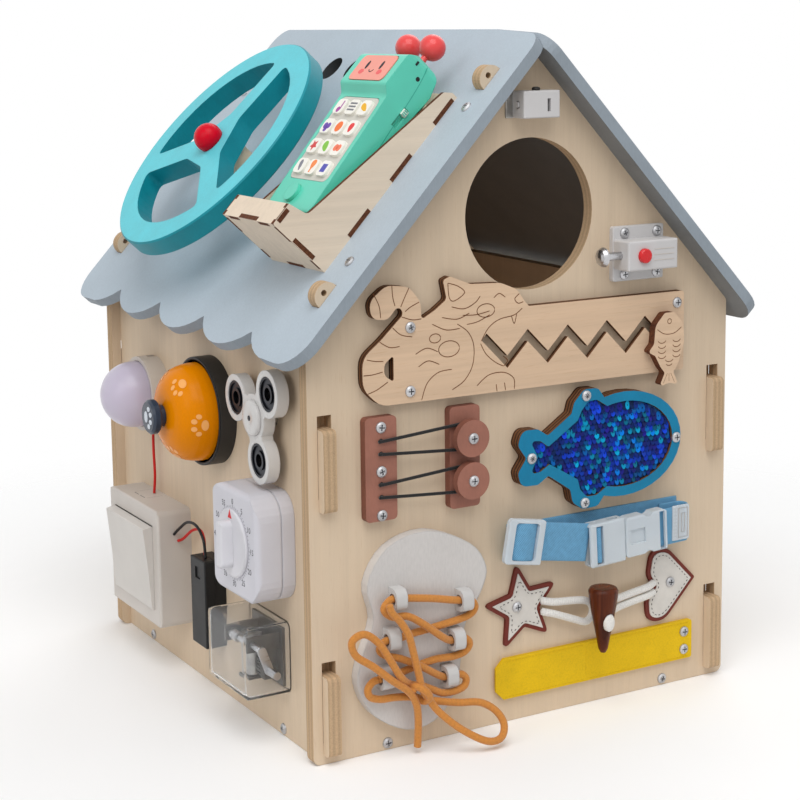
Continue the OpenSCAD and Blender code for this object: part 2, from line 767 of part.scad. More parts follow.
module spinner_ring() {
    a = ring_bore + 2;
    b = ring_r - 1.5;
    h = spinner_t - 1;
    translate([0, 0, spin_base + 0.5]) rotate_extrude()
        polygon([[ring_bore, 0], [a, 0], [a, 1], [b, 1], [b, 0], [ring_r, 0], [ring_r, h], [b, h], [b, h - 1],
                 [a, h - 1], [a, h], [ring_bore, h]]);
}

module spinner_rings() color("slategray") on_left() at(spin_at) {
    spinner_ring();
    for (a = [162, 42, -78]) translate(polar(lobe_at, a)) spinner_ring();
}

module switch_box() color("lightgray") on_left() at(switch_at) difference() {
    soft_box(switch_w, switch_h, switch_d, 4, 2);
    translate([0, 0, rocker_axis - 8]) slab(box_outline(rocker_w + 1, rocker_h + 1, 1), switch_d);
    translate([0, 0, rocker_axis]) rotate([0, 90, 0])
        cylinder(h = rocker_w + 6, r = 2 + play, center = true);
}

module switch_rocker() color("gainsboro") on_left() at(switch_at) translate([0, 0, rocker_axis])
    rotate([rocker_tilt, 0, 0]) {
        h = rocker_h / 2;
        along_x(rounded([[-h, 2, 1], [-4, -4, 2], [4, -4, 2], [h, 2, 1], [h - 0.5, 9.5, 1], [0, 9],
                         [-h + 0.5, 9.5, 1]]), -rocker_w / 2, rocker_w / 2);
        rotate([0, 90, 0]) cylinder(h = rocker_w + 5, r = 2, center = true);
    }

module timer_case() color("lavender") on_left() at(timer_at) difference() {
    soft_box(timer_w, timer_h, timer_d, 16, 4);
    translate([0, 0, timer_d / 3]) linear_extrude(0.6) difference() {
        square(2 * timer_h, center = true);
        polygon(box_outline(timer_w - 1, timer_h - 1, 15.5));
    }
    translate([0, 0, timer_d - 10]) cylinder(h = 11, r = 3 + play);
}

module timer_dial() color("white") on_left() at(timer_at) translate([0, 0, timer_d + play]) {
    rotate_extrude() polygon([[0, 0], [dial_r, 0], [dial_r, 1.2], [dial_r - 0.8, 2], [0, 2]]);
    translate([0, 0, -9]) cylinder(h = 10, r = 3);
    translate([0, 0, 1]) soft_box(8, 1.4 * dial_r, 9.5, 3.9, 2);
}

module battery_box() color("dimgray") on_left() at(battery_at) difference() {
    soft_box(battery_w, battery_h, battery_d, 2, 1.2);
    box(-4, 4, battery_h / 2 - 14, battery_h / 2 - 6, battery_d - 1, battery_d + 1);
    translate([0, 0, battery_d / 2]) linear_extrude(0.5) difference() {
        square(2 * battery_h, center = true);
        square([battery_w - 0.8, battery_h - 0.8], center = true);
    }
}

module music_case() color([0.85, 0.9, 0.95, 0.4]) on_left() at(music_at) difference() {
    m = 2 * music_wall;
    soft_box(music_w, music_h, music_d, 5, 4);
    translate([0, 0, -1]) soft_box(music_w - m, music_h - m, music_d - music_wall + 1, 3.5, 3);
    translate([music_w / 2 - 6, crank_z, crank_off]) rotate([0, 90, 0]) cylinder(h = 12, r = 2 + play);
}

module music_frame() color("silver") on_left() at(music_at) {
    difference() {
        union() {
            box(-22, 22, -20.5, 18, 0, 2);
            box(-10, 2, -20, -18, 1, drum_off + 6);
            box(-10, 2, 6, 7.4, 1, drum_off + 6);
            for (x = [-14, 16]) box(x, x + 2, crank_z - 5, crank_z + 5, 1, crank_off + 4);
            box(8, 14, -17, 4, 1, drum_off);
        }
        translate([drum_x, -21, drum_off]) rotate([-90, 0, 0]) cylinder(h = 30, r = 1.5 + play);
        translate([-15, crank_z, crank_off]) rotate([0, 90, 0]) cylinder(h = 34, r = 2 + play);
    }
    for (y = [-16:2.4:3]) box(drum_x + drum_r + fit, 9, y, y + 1.6, drum_off - 0.8, drum_off);
}

module on_drum() on_left() at(music_at) translate([drum_x, 0, drum_off]) rotate([-90, 0, 0]) children();

module music_drum() color("silver") on_drum() {
    translate([0, 0, -20.5]) cylinder(h = 31, r = 1.5);
    translate([0, 0, -17]) cylinder(h = 22.5, r = drum_r);
    translate([0, 0, crank_z - 1.2]) cylinder(h = 2.4, r = gear_r);
}

// Crank of the music box, turned so that the arm points down and towards the wall
module music_crank() color("gainsboro") on_left() at(music_at) translate([0, crank_z, crank_off])
    rotate([200, 0, 0]) {
        e = music_w / 2;
        translate([-13.5, 0, 0]) rotate([0, 90, 0]) cylinder(h = e + 15.5, r = 2);
        translate([drum_x - 4, 0, 0]) rotate([0, 90, 0]) cylinder(h = 8, r = worm_r);
        along_x(rounded([[-2.8, -2.8, 2.7], [crank_arm + 2.8, -2.8, 2.7], [crank_arm + 2.8, 2.8, 2.7],
                         [-2.8, 2.8, 2.7]]), e + 1, e + 3);
        translate([e + 2, crank_arm, 0]) rotate([0, 90, 0]) cylinder(h = 11, r = 2.6);
    }

// Wires on the left wall: distance to the front, height, and distance from the wall
lamp_wire = [[-87, 168, 4], [-85, 150, 5], [-84, 132, 5], [-84, 118.3, 6]];
red_wire = [[-32.7, 96, 10], [-26, 99, 9], [-15, 107, 7], [-4, 110, 6], [5, 106, 7], [8, 95.7, 8]];
black_wire = [[-32.7, 101, 13], [-25, 107, 12], [-13, 114, 11], [2, 115, 11], [13, 108, 11], [16, 95.7, 11]];

module wires() color("firebrick") on_left() {
    tube(smooth(lamp_wire, 3), wire_r);
    tube(smooth(red_wire, 3), wire_r);
    tube(smooth(black_wire, 3), wire_r);
}

module top_catch() color("whitesmoke") on_front() translate([0, apex_h - 35, 0]) {
    difference() {
        soft_box(catch_w, catch_h, catch_d, 1, 1);
        box(4, 6.4, -4.5, 3.5, catch_d - 3, catch_d + 1);
        translate([-catch_w / 2, 0, catch_d / 2]) rotate([0, 90, 0]) cylinder(h = 8, r = 2.5, center = true);
    }
    translate([-catch_w / 2 - 1, 0, catch_d / 2]) rotate([0, 90, 0]) cylinder(h = 6, r = 1.8);
}

module latch_body() color("gainsboro") on_front() translate([latch_at[0], latch_at[1], 0]) difference() {
    union() {
        soft_box(latch_w, latch_h, latch_t, 2, 1);
        soft_box(latch_w - 1, 19.5, latch_t + house_t, 1.5, 1.5);
    }
    translate([-latch_w / 2 - 1, 0, bolt_off]) rotate([0, 90, 0])
        cylinder(h = 24 + bolt_slide, r = bolt_r + play);
    translate([-7.5, 0, latch_t + house_t - 5]) cylinder(h = 6, r = button_r + play);
    drill([for (s = latch_screws) s - latch_at], -1, latch_t + 1);
    for (s = latch_screws) {
        translate([s[0] - latch_at[0], s[1] - latch_at[1], latch_t]) cylinder(h = house_t, r = screw_r + fit);
    }
}

module latch_bolt() color("silver") on_front() translate([latch_at[0] - latch_w / 2, latch_at[1], bolt_off])
    rotate([0, 90, 0]) {
        translate([0, 0, -13]) cylinder(h = 34, r = bolt_r);
        translate([0, 0, -17]) rotate_extrude()
            polygon([[0, -0.2], [3, 0.3], [5, 1.4], [6.3, 3.2], [6.5, 4.4], [0, 4.4]]);
    }

module latch_button() color("red") on_front()
    translate([latch_at[0] - 7.5, latch_at[1], latch_t + house_t - 2])
    rotate_extrude() polygon([[0, 0], [button_r, 0], [button_r, 4], [button_r - 0.8, 4.8], [0, 5]]);

// Outline of the cat board, from the lower right corner round by the head and the tail
function cat_outline() =
    rounded([[119, 220, 2], [119, 273, 2], [-5, 273.5, 2], [-8, 277, 3], [-14, 285, 8], [-26, 290, 10],
             [-48, 291, 4], [-63, 297, 2.5], [-68, 295, 2], [-65.5, 283, 3], [-74, 277, 6], [-83.5, 272, 1.5],
             [-84, 283, 10], [-92, 293, 10], [-108, 295, 10], [-120, 286, 8], [-118, 275, 6], [-107, 274, 6],
             [-100, 282, 3], [-95.5, 277, 4], [-112, 262, 14], [-125, 252, 12], [-125, 233, 14],
             [-113, 221.5, 14]]);
zigzag = [for (k = [0:zig_n]) [zig_x + k * zig_step, zig_z + (k % 2 == 0 ? zig_h : 0)]];
function longer(p, e) =
    let(n = len(p), u = unit(p[0] - p[1]), v = unit(p[n - 1] - p[n - 2]))
    [for (i = [0:n - 1]) i == 0 ? p[0] + u * e : (i == n - 1 ? p[i] + v * e : p[i])];

module cat_board() color("burlywood") on_front() difference() {
    slab(cat_outline(), board_t);
    translate([0, 0, -1]) slab(band(longer(zigzag, zig_w / 2), zig_w), board_t + 2);
    translate([0, 0, -1]) slab(band(longer(zigzag, foot_r + fit), 2 * (foot_r + fit)), foot_t + 2 * fit + 1);
    translate([0, 0, -1])
        slab(rounded([[-103.5, 252, 1], [-110, 247, 5], [-110, 240, 5], [-103.5, 235.5, 1]]), board_t + 2);
    drill(cat_screws, -1, board_t + 1);
}

module fish_slider() color("burlywood") on_front() translate([fish_at[0], fish_at[1], 0]) {
    translate([0, 0, board_t + fit])
        slab(rounded([[4, 21, 3], [-4, 21, 3], [-11.5, 13, 8], [-12.5, 1, 4], [-17, -4, 1.5], [-11.5, -7, 3],
                      [-7, -15, 8], [-3.5, -19, 2], [-8, -28, 1.5], [0, -26, 3], [8, -28, 1.5], [3.5, -19, 2],
                      [7, -15, 8], [12.5, 0, 10], [11.5, 13, 8]]), fish_t);
    translate([0, 0, fit]) cylinder(h = foot_t, r = foot_r);
    translate([0, 0, fit]) cylinder(h = board_t + 1, r = zig_w / 2 - 0.4);
}

module elastic_plates() color("rosybrown") on_front() difference() {
    union() {
        for (x = elastic_x) translate([x, elastic_z, 0]) slab(box_outline(plate_w, plate_h, 3), board_t);
        for (z = peg_z) translate([elastic_x[1], z, 0]) {
            cylinder(h = board_t + 6, r = neck_r);
            translate([0, 0, board_t + 5]) cylinder(h = 5, r = disc_r);
        }
    }
    drill(elastic_screws, -1, board_t + 1);
    drill([for (z = peg_z) [elastic_x[1], z]], board_t + 6, board_t + 11);
    for (z = peg_z, d = [-4, 4]) {
        translate([elastic_x[0], z + d, board_t - 3]) cylinder(h = 4, r = elastic_r + 0.2);
    }
}

// Loop of elastic cord from its two holes round a peg
function loop_line(z) =
    let(x = elastic_x[0], p = elastic_x[1], r = neck_r + elastic_r + 0.3, o = board_t + elastic_r + 0.4)
    concat(
        [[x, z + 4, board_t - 2.8], [x, z + 4, board_t + 0.6], [x + 2.5, z + 4.2, o]],
        [for (a = [95:-38:-95]) [p + r * cos(a), z + r * sin(a), o]],
        [[x + 2.5, z - 4.2, o], [x, z - 4, board_t + 0.6], [x, z - 4, board_t - 2.8]]);

module elastic_cords() color("black") on_front() for (z = peg_z) tube(loop_line(z), elastic_r);

function oval(c, a, b, a0, a1, n) = [for (k = [0:n]) c + [a * cos(a0 + (a1 - a0) * k / n),
                                                         b * sin(a0 + (a1 - a0) * k / n)]];

// Outline of the sequin fish and of the window in its frame
function fish_outline() =
    rounded(concat(oval([68, 176], 47, 35, -110, 110, 22),
        [[47, 215.5, 5], [36, 216, 6], [28, 208, 6], [26, 201, 3], [7.5, 189, 2], [0, 194, 6],
         [-12, 194.5, 6], [-15.5, 185, 5], [-9, 176, 2], [-15.5, 167, 5], [-13, 158, 6], [0, 157.5, 5],
         [8, 162.5, 2], [25, 151, 3], [27, 142, 6], [35, 136.5, 6], [47, 137, 5]]));
function fish_window() =
    rounded(concat(oval([68, 176], 40, 28.5, -110, 110, 22),
        [[46, 208, 4], [39, 207.5, 4], [34, 202, 3], [31, 196, 2], [8, 181.5, 2], [2, 186, 3], [-6, 187, 3],
         [0, 176, 2], [-6, 165, 3], [2, 166, 3], [9, 170, 2], [31, 157, 2], [33, 150, 3], [38, 144.5, 4],
         [46, 144.5, 4]]));

module fish_frame() color("teal") on_front() difference() {
    slab(fish_outline(), sequin_t);
    translate([0, 0, sequin_t - frame_t]) slab(fish_window(), sequin_t);
    drill(fish_screws, -1, sequin_t + 1);
}

module sequin_cloth() color("royalblue") on_front() translate([50, 176, sequin_t - frame_t])
    slab([for (q = fish_window()) (q - [50, 176]) * 0.99], 1.6);

// Bend of the webbing from height z0 to z1 over the gable, between x0 and the turn at x1
module web_bend(x0, x1, z0, z1, zc) {
    s = x1 > x0 ? 1 : -1;
    m = (z1 - z0) / 2 - 0.1;
    n = m - web_t;
    translate([0, zc + web_w / 2, 0]) rotate([90, 0, 0]) linear_extrude(web_w) difference() {
        polygon(rounded([[x0, z0], [x1, z0, m], [x1, z1, m], [x0, z1]]));
        polygon(rounded([[x0 - s, z0 + web_t], [x1 - s * web_t, z0 + web_t, n],
                         [x1 - s * web_t, z1 - web_t, n], [x0 - s, z1 - web_t]]));
    }
}

module strap_band() color("skyblue") {
    x0 = strap_at[0] + 1;
    on_front() {
        box(x0, tail_end - 3, strap_z - web_w / 2, strap_z + web_w / 2, 0, web_t);
        web_bend(x0 + 1, x0 - 8, 0, strap_off + web_t, strap_z + 2);
    }
    on_strap() box(-1, 48.5, -web_w / 2, web_w / 2, strap_off, strap_off + web_t);
    on_buckle() box(-5, 9, -web_w / 2 + fit, web_w / 2 - fit, strap_off, strap_off + web_t);
}

module strap_adjuster() color("white") on_strap() translate([0, 0, strap_off + web_t + fit]) difference() {
    soft_box(28.2, buckle_w, 3.6, 3, 1);
    translate([0, 0, -1]) slab(box_outline(18, web_w - 0.6, 2), 6);
}

// Height range of the buckle over the gable
buckle_z = strap_off + 1.4 - buckle_t / 2;

module buckle_socket() color("white") on_buckle() translate([14, 0, buckle_z]) difference() {
    soft_box(28, buckle_w, buckle_t, 2, 1.5);
    translate([0, 0, 1.5]) box(-2, 15, -buckle_w / 2 + 3.5, buckle_w / 2 - 3.5, 0, buckle_t - 3);
    box(2, 10, -buckle_w, buckle_w, 2.5, buckle_t - 2.5);
    box(-9.5, -4, -web_w / 2 - fit, web_w / 2 + fit, -1, buckle_t + 1);
    box(-15, -9, -web_w / 2 - fit, web_w / 2 + fit, buckle_t / 2 - 2, buckle_t / 2 + 2);
}

module buckle_prongs() color("white") on_buckle() translate([14, 0, buckle_z]) {
    difference() {
        translate([31.5, 0, 0]) soft_box(34.4, buckle_w - 2, buckle_t, 3, 1.5);
        box(42, 46.5, -web_w / 2 - 0.5, web_w / 2 + 0.5, -1, buckle_t + 1);
        box(46, 50, -web_w / 2 - 0.5, web_w / 2 + 0.5, buckle_t / 2 - 2, buckle_t / 2 + 2);
        box(18, 30, -5, 5, buckle_t - 1.5, buckle_t + 1);
        for (s = [-1, 1]) {
            translate([33, s * (buckle_w / 2 + 2), -1]) cylinder(h = buckle_t + 2, r = 5);
        }
    }
    box(-0.5, 15, -2.2, 2.2, 2.2, buckle_t - 2.2);
    for (s = [0, 1]) mirror([0, s, 0]) {
        box(1, 15, 6, 10.5, 2.2, buckle_t - 2.2);
        translate([1, 6.5, 2.2]) cylinder(h = buckle_t - 4.4, r = 2.5);
    }
}

module strap_tail() color("skyblue") {
    on_front() web_bend(102, tail_end, web_t + 0.8, strap_off + 2, buckle_at[1] + 4);
    on_buckle() box(57, 69, -web_w / 2, web_w / 2, strap_off + 2 - web_t, strap_off + 2);
}

star_outline = [for (k = [0:9]) concat(star_at + polar(k % 2 == 0 ? star_r : star_r * 0.46, 98 + 36 * k), 1)];

module toggle_patches() color("linen") on_front() difference() {
    union() {
        slab(rounded(star_outline), leather_t);
        slab(rounded([[134, 73, 1.5], [110, 97.5, 14], [96, 97, 13], [93, 80, 10], [98.5, 72, 1],
                      [92, 64, 10], [93, 48, 13], [108, 46, 14]]), leather_t);
    }
    drill(patch_screws, -1, leather_t + 1);
}

// Cord loops of the toggle, one from the heart and one from the star, whose end holds the horn by its eye
star_loop = [[2, 79], [16, 76.4], [30, 75], [39, 73.4], [43.6, 70.5], [45.3, 66], [43.6, 61], [39, 58.9],
             [30, 62.3], [16, 68], [2, 72]];
heart_loop = [[104, 75.8], [91, 73.8], [78, 72], [66.5, 70.3], [58, 69.6], [53.5, 68.5], [51.8, 65.3],
              [53.5, 62.2], [58, 61.8], [67, 64.2], [78, 66], [91, 67.8], [104, 69.4]];
function flat_line(p, z) = [for (q = p) [q[0], q[1], z]];

module toggle_cords() color("white") on_front() {
    tube(smooth(flat_line(star_loop, leather_t + toggle_r + fit), 2), toggle_r);
    tube(smooth(flat_line(heart_loop, leather_t + toggle_r + fit), 2), toggle_r);
    translate([horn_at[0], horn_at[1], leather_t + fit])
        cylinder(h = horn_off + 5.5 - leather_t - fit, r = horn_eye / 2 - fit);
}

module on_horn() on_front() translate([horn_at[0], horn_at[1], horn_off]) children();

module toggle_horn() color("saddlebrown") on_horn() difference() {
    h = horn_l / 2;
    r = horn_r;
    rotate([-90, 0, 0]) rotate_extrude()
        polygon([[0, -h], [1.8, -h + 0.4], [3.2, -h + 3], [r * 0.47, -h * 0.5], [r * 0.76, h * 0.15],
                 [r * 0.96, h * 0.7], [r, h * 0.9], [r - 1, h - 0.4], [r - 2, h], [0, h]]);
    translate([0, 0, -horn_r - 1]) slab(box_outline(horn_eye, 12, 3.4), 2 * horn_r + 2);
}

// Outline of a hook strap layer from x0 to x1, with its left corners cut by c and its right ones rounded by r
function strap_outline(x0, x1, c, r) =
    let(h = hook_w / 2, z = hook_z)
    rounded([[x0 + c, z - h], [x1, z - h, r], [x1, z + h, r], [x0 + c, z + h], [x0, z + h - c],
             [x0, z - h + c]]);

module hook_strap_base() color("gold") on_front() difference() {
    union() {
        slab(strap_outline(hook_left + 1, hook_right, 6, 2), hook_t);
        slab(strap_outline(hook_fold + 0.6, hook_right, 0.1, 2), 2 * hook_t + fit);
    }
    drill(hook_screws, -1, 3 * hook_t);
}

module hook_strap_flap() color("gold") on_front() translate([0, 0, hook_t + fit])
    slab(strap_outline(hook_left, hook_fold, 6, 0), hook_t);

function shoe_outline() =
    smooth_ring([[-82, 139.5], [-110.5, 133], [-125, 111.5], [-121, 88.5], [-129.5, 66], [-132.5, 48.5],
                 [-122, 28], [-99, 14], [-78.5, 15.5], [-63.5, 30], [-59, 48], [-58, 64.5], [-52.5, 80],
                 [-42.5, 95], [-39, 110], [-51, 127]], 4);

module shoe_plate() color("gainsboro") on_front() slab(shoe_outline(), shoe_t);

module lace_lug() difference() {
    along_x(rounded([[-7, 0], [7, 0], [7, eye_h, 6.5], [-7, eye_h, 6.5]]), -eye_w / 2, eye_w / 2);
    translate([0, 0, 5]) rotate([0, 90, 0]) cylinder(h = eye_w + 2, r = lace_r + 1.3, center = true);
}

module lace_lugs() color("white") on_front() for (s = eye_spots) translate([s[0], s[1], shoe_t]) lace_lug();

// Lacing of the shoe through its lugs: distance to the right, height, and distance from the shoe
lacing = [[-121, 52.5, 5], [-116, 52.5, 5], [-110, 53, 5], [-98, 54.5, 3.4], [-80, 57, 3.2],
          [-66, 56.5, 3.2], [-57.5, 58.7, 4], [-55, 64, 5], [-59, 68, 5], [-64.5, 68, 5], [-70, 68.5, 5.4],
          [-78, 73.5, 8.4], [-90, 83, 9], [-101, 90, 7.5], [-111, 90.8, 5.5], [-116.5, 96.3, 5],
          [-112, 101.5, 5], [-106.5, 101.5, 5], [-100, 100.8, 5], [-82, 97.5, 5], [-65, 93.5, 5],
          [-58.5, 92.5, 5], [-53, 91, 5], [-50.5, 85.8, 4.4], [-56, 81, 3.4], [-75, 78.5, 3.2],
          [-95, 77, 3.4], [-105, 76.5, 5], [-111, 76.5, 5], [-117, 75.5, 5], [-120, 71, 5], [-115, 66.5, 5],
          [-106, 63.5, 6.5], [-94, 57.5, 9], [-84, 51, 7.5], [-75, 45.5, 5], [-70, 45, 5], [-65, 45, 5]];

module shoe_lace() color("peru") on_front() translate([0, 0, shoe_t]) tube(lacing, lace_r);

// Free ends of the lace, tied in a bow
left_end = [[-122, 52.4, 5], [-125.5, 51.4, 5], [-128.6, 47.5, 5], [-127, 42.5, 5.2], [-120, 39.8, 5.6],
            [-110, 39.3, 6.2], [-98, 37.3, 7], [-85, 33, 8.5], [-68, 29, 11], [-53, 27, 14],
            [-44, 21, 18.5], [-41, 13, 23], [-46, 6.5, 27], [-57, 7, 27.5], [-72, 16, 22],
            [-84, 27.5, 15.5], [-91, 37.5, 14], [-95.5, 45, 14.5], [-98.5, 56, 15], [-102, 70, 15],
            [-105, 81, 14.8], [-110, 90, 13.5], [-115, 96, 12.5], [-116.5, 101, 12]];
right_end = [[-64, 44.9, 5], [-60.5, 44, 5], [-57.8, 40.8, 5.2], [-59.5, 36.6, 5.6], [-66, 34.8, 6],
             [-75.5, 35.3, 6.2], [-83, 39, 6.8], [-91, 43.2, 7.4], [-101, 47, 9], [-110, 54.5, 13.8],
             [-117, 66, 13.8], [-124, 78, 12], [-133, 85, 10], [-141, 81.5, 9], [-139, 72.5, 9.5],
             [-128, 64, 12], [-116, 53.5, 13.8], [-107, 46.5, 13.8], [-101.5, 40.5, 12.8], [-98, 33, 12],
             [-96, 24, 10], [-95, 14, 8], [-95, 4.5, 7]];

module lace_ends() color("peru") on_front() translate([0, 0, shoe_t]) {
    tube(left_end, lace_r);
    tube(right_end, lace_r);
}

front_panel();
back_panel();
left_wall();
right_wall();
base_panel();
roof_left();
roof_right();
screws();
wheel_post();
steering_wheel();
hub_ball();
holder_box();
phone_shell();
phone_screen();
phone_keypad();
phone_button();
phone_switch();
phone_antennas();
lamp_socket();
lamp_globe();
bell_base();
bell_dome();
bell_button();
spinner_axle();
spinner_body();
spinner_rings();
switch_box();
switch_rocker();
timer_case();
timer_dial();
battery_box();
music_case();
music_frame();
music_drum();
music_crank();
wires();
top_catch();
latch_body();
latch_bolt();
latch_button();
cat_board();
fish_slider();
elastic_plates();
elastic_cords();
fish_frame();
sequin_cloth();
strap_band();
strap_adjuster();
buckle_socket();
buckle_prongs();
strap_tail();
toggle_patches();
toggle_cords();
toggle_horn();
hook_strap_base();
hook_strap_flap();
shoe_plate();
lace_lugs();
shoe_lace();
lace_ends();
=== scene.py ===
import math
import random

import bpy
import numpy as np
from mathutils import Matrix, Vector
from mathutils.geometry import tessellate_polygon


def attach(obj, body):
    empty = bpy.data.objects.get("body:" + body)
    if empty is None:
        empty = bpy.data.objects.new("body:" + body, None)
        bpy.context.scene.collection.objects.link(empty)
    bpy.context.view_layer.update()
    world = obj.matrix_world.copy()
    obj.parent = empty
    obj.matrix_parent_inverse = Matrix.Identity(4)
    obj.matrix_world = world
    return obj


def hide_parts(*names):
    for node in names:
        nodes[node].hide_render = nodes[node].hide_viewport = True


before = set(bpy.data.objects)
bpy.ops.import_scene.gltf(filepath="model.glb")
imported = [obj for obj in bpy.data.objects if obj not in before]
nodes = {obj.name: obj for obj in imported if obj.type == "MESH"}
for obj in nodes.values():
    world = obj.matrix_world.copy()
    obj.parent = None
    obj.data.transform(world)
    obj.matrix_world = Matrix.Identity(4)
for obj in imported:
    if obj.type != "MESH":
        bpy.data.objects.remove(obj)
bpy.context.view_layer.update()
scene = bpy.context.scene
MM = 0.001
random.seed(7)

# The house, in millimetres, as in the part's source
HALF_D = 163.0
WALL_X = 153.0
APEX = 435.0
PITCH = math.atan2(172.0, 160.0)
KEY_TILT = math.radians(4)


def polar(r, degrees, ry=None):
    """Point of a circle about the origin, or of an ellipse with half axes r and ry."""
    a = math.radians(degrees)
    return Vector((r * math.cos(a), (r if ry is None else ry) * math.sin(a)))


def circle(r, n, ry=None):
    """n points of that circle or ellipse."""
    return [polar(r, 360 * k / n, ry) for k in range(n)]


def parts(n, first=0):
    """Fractions of a whole in n steps, from step first on."""
    return [k / n for k in range(first, n + 1)]


class Face:
    """A flat face: u to the right, v up, w out of it; mm() and turned() in millimetres, at() in metres."""

    def __init__(self, origin, u, v):
        self.o, self.u, self.v = Vector(origin), Vector(u).normalized(), Vector(v).normalized()
        self.w = self.u.cross(self.v)

    def mm(self, u, v, w=0.0):
        return self.o + self.u * u + self.v * v + self.w * w

    def at(self, u, v, w=0.0):
        return self.mm(u, v, w) * MM

    def turned(self, u, v, angle=0.0):
        c, s = polar(1, angle)
        return Face(self.mm(u, v), self.u * c + self.v * s, self.v * c - self.u * s)


FRONT = Face((0, -HALF_D, 0), (1, 0, 0), (0, 0, 1))
LEFT = Face((-WALL_X, 0, 0), (0, -1, 0), (0, 0, 1))
ROOF = Face((0, 0, APEX), (-math.cos(PITCH), 0, -math.sin(PITCH)), (0, -1, 0))
KEYS = Face(ROOF.mm(113, 104, 40.8), ROOF.u * math.cos(KEY_TILT) - ROOF.w * math.sin(KEY_TILT), ROOF.v)

# Camera, fitted to the photograph
CAM_AT = Vector((-0.64372, -1.11800, 0.45264))
YAW, DOWN, ROLL = math.radians(29.881), math.radians(8.811), math.radians(-0.7175)
FOCAL_PX, PHOTO_PX, SENSOR_MM = 1833.7, 800, 36.0
SHIFT_UP = -0.12
look = Vector((math.sin(YAW) * math.cos(DOWN), math.cos(YAW) * math.cos(DOWN), -math.sin(DOWN)))
right = look.cross(Vector((0, 0, 1))).normalized()
up = right.cross(look)
right, up = right * math.cos(ROLL) + up * math.sin(ROLL), up * math.cos(ROLL) - right * math.sin(ROLL)
cam_data = bpy.data.cameras.new("camera")
cam_data.sensor_width = SENSOR_MM
cam_data.lens = FOCAL_PX / PHOTO_PX * SENSOR_MM
cam_data.shift_y = SHIFT_UP
cam_data.clip_start, cam_data.clip_end = 0.05, 60.0
cam = bpy.data.objects.new("camera", cam_data)
cam.matrix_world = Matrix.Translation(CAM_AT) @ Matrix((right, up, -look)).transposed().to_4x4()
scene.collection.objects.link(cam)
scene.camera = cam

# Materials, each kept in MATS by its name
MATS = {}
SPECULAR = 0.26


def lin(c):
    """sRGB 0..255 to linear."""
    k = [x / 255.0 for x in c]
    return tuple(x / 12.92 if x <= 0.04045 else ((x + 0.055) / 1.055) ** 2.4 for x in k) + (1.0,)


def shade(c, k):
    return tuple(max(0, min(255, x * k)) for x in c)


class Nodes:
    """A node tree with small helpers."""

    def __init__(self, tree):
        self.nt = tree

    def n(self, kind, **inputs):
        """New node: small first letters are its settings, capitals its inputs."""
        x = self.nt.nodes.new("ShaderNode" + kind)
        for k, v in inputs.items():
            if k[0].islower():
                setattr(x, k, v)
            else:
                self.put(x.inputs[k.replace("_", " ")], v)
        return x

    def put(self, socket, v):
        if hasattr(v, "is_output"):
            self.nt.links.new(v, socket)
        else:
            socket.default_value = v

    def math(self, op, a, b=0.0):
        x = self.n("Math", operation=op)
        self.put(x.inputs[0], a)
        self.put(x.inputs[1], b)
        return x.outputs[0]

    def span(self, fac, lo, hi):
        return self.n("MapRange", Value=fac, To_Min=lo, To_Max=hi).outputs["Result"]


class Mat(Nodes):
    """A Principled material."""

    def __init__(self, name, rough, **sockets):
        m = MATS[name] = bpy.data.materials.new(name)
        m.use_nodes = True
        super().__init__(m.node_tree)
        self.b = self.nt.nodes["Principled BSDF"].inputs
        for k, v in {"Roughness": rough, "Specular_IOR_Level": SPECULAR, **sockets}.items():
            self.b[k.replace("_", " ")].default_value = v
        self.coord = self.n("TexCoord").outputs

    def noise(self, scale, detail=4.0, rough=0.55, dist=0.0, stretch=(1, 1, 1)):
        m = self.n("Mapping", Vector=self.coord["Object"], Scale=stretch).outputs["Vector"]
        x = self.n("TexNoise", Vector=m, Scale=scale, Detail=detail, Roughness=rough, Distortion=dist)
        return x.outputs["Fac"]

    def cells(self, scale):
        return self.n("TexVoronoi", Vector=self.coord["Object"], Scale=scale).outputs["Distance"]

    def ramp(self, fac, stops):
        r = self.n("ValToRGB", Fac=fac)
        e = r.color_ramp.elements
        while len(e) < len(stops):
            e.new(0.5)
        for el, (p, c) in zip(e, stops):
            el.position, el.color = p, lin(c)
        return r.outputs["Color"]

    def tones(self, fac, base, low, high, start=0.3, end=0.7):
        return self.ramp(fac, [(start, shade(base, low)), (end, shade(base, high))])

    def mix(self, fac, a, b, mode="MIX"):
        x = self.n("Mix", data_type="RGBA", blend_type=mode)
        self.put(x.inputs["Factor"], fac)
        self.put(x.inputs[6], a)
        self.put(x.inputs[7], b)
        return x.outputs[2]

    def axis(self, k, coord="Object"):
        return self.n("SeparateXYZ", Vector=self.coord[coord]).outputs[k]

    def turns(self, k, rate):
        """Angle that goes round rate times for each unit of UV."""
        return self.math("MULTIPLY", self.axis(k, "UV"), 2 * math.pi * rate)

    def color(self, c):
        self.put(self.b["Base Color"], c)
        return self

    def rough(self, fac, lo, hi):
        self.put(self.b["Roughness"], self.span(fac, lo, hi))
        return self

    def ease(self, mm):
        """Rounds edges and facets up to mm wide in the shading."""
        if mm:
            self.put(self.b["Normal"], self.n("Bevel", samples=4, Radius=mm * MM).outputs["Normal"])
        return self

    def bump(self, height, strength, dist):
        x = self.n("Bump", Height=height, Strength=strength, Distance=dist)
        if self.b["Normal"].links:
            self.put(x.inputs["Normal"], self.b["Normal"].links[0].from_socket)
        self.put(self.b["Normal"], x.outputs["Normal"])
        return self


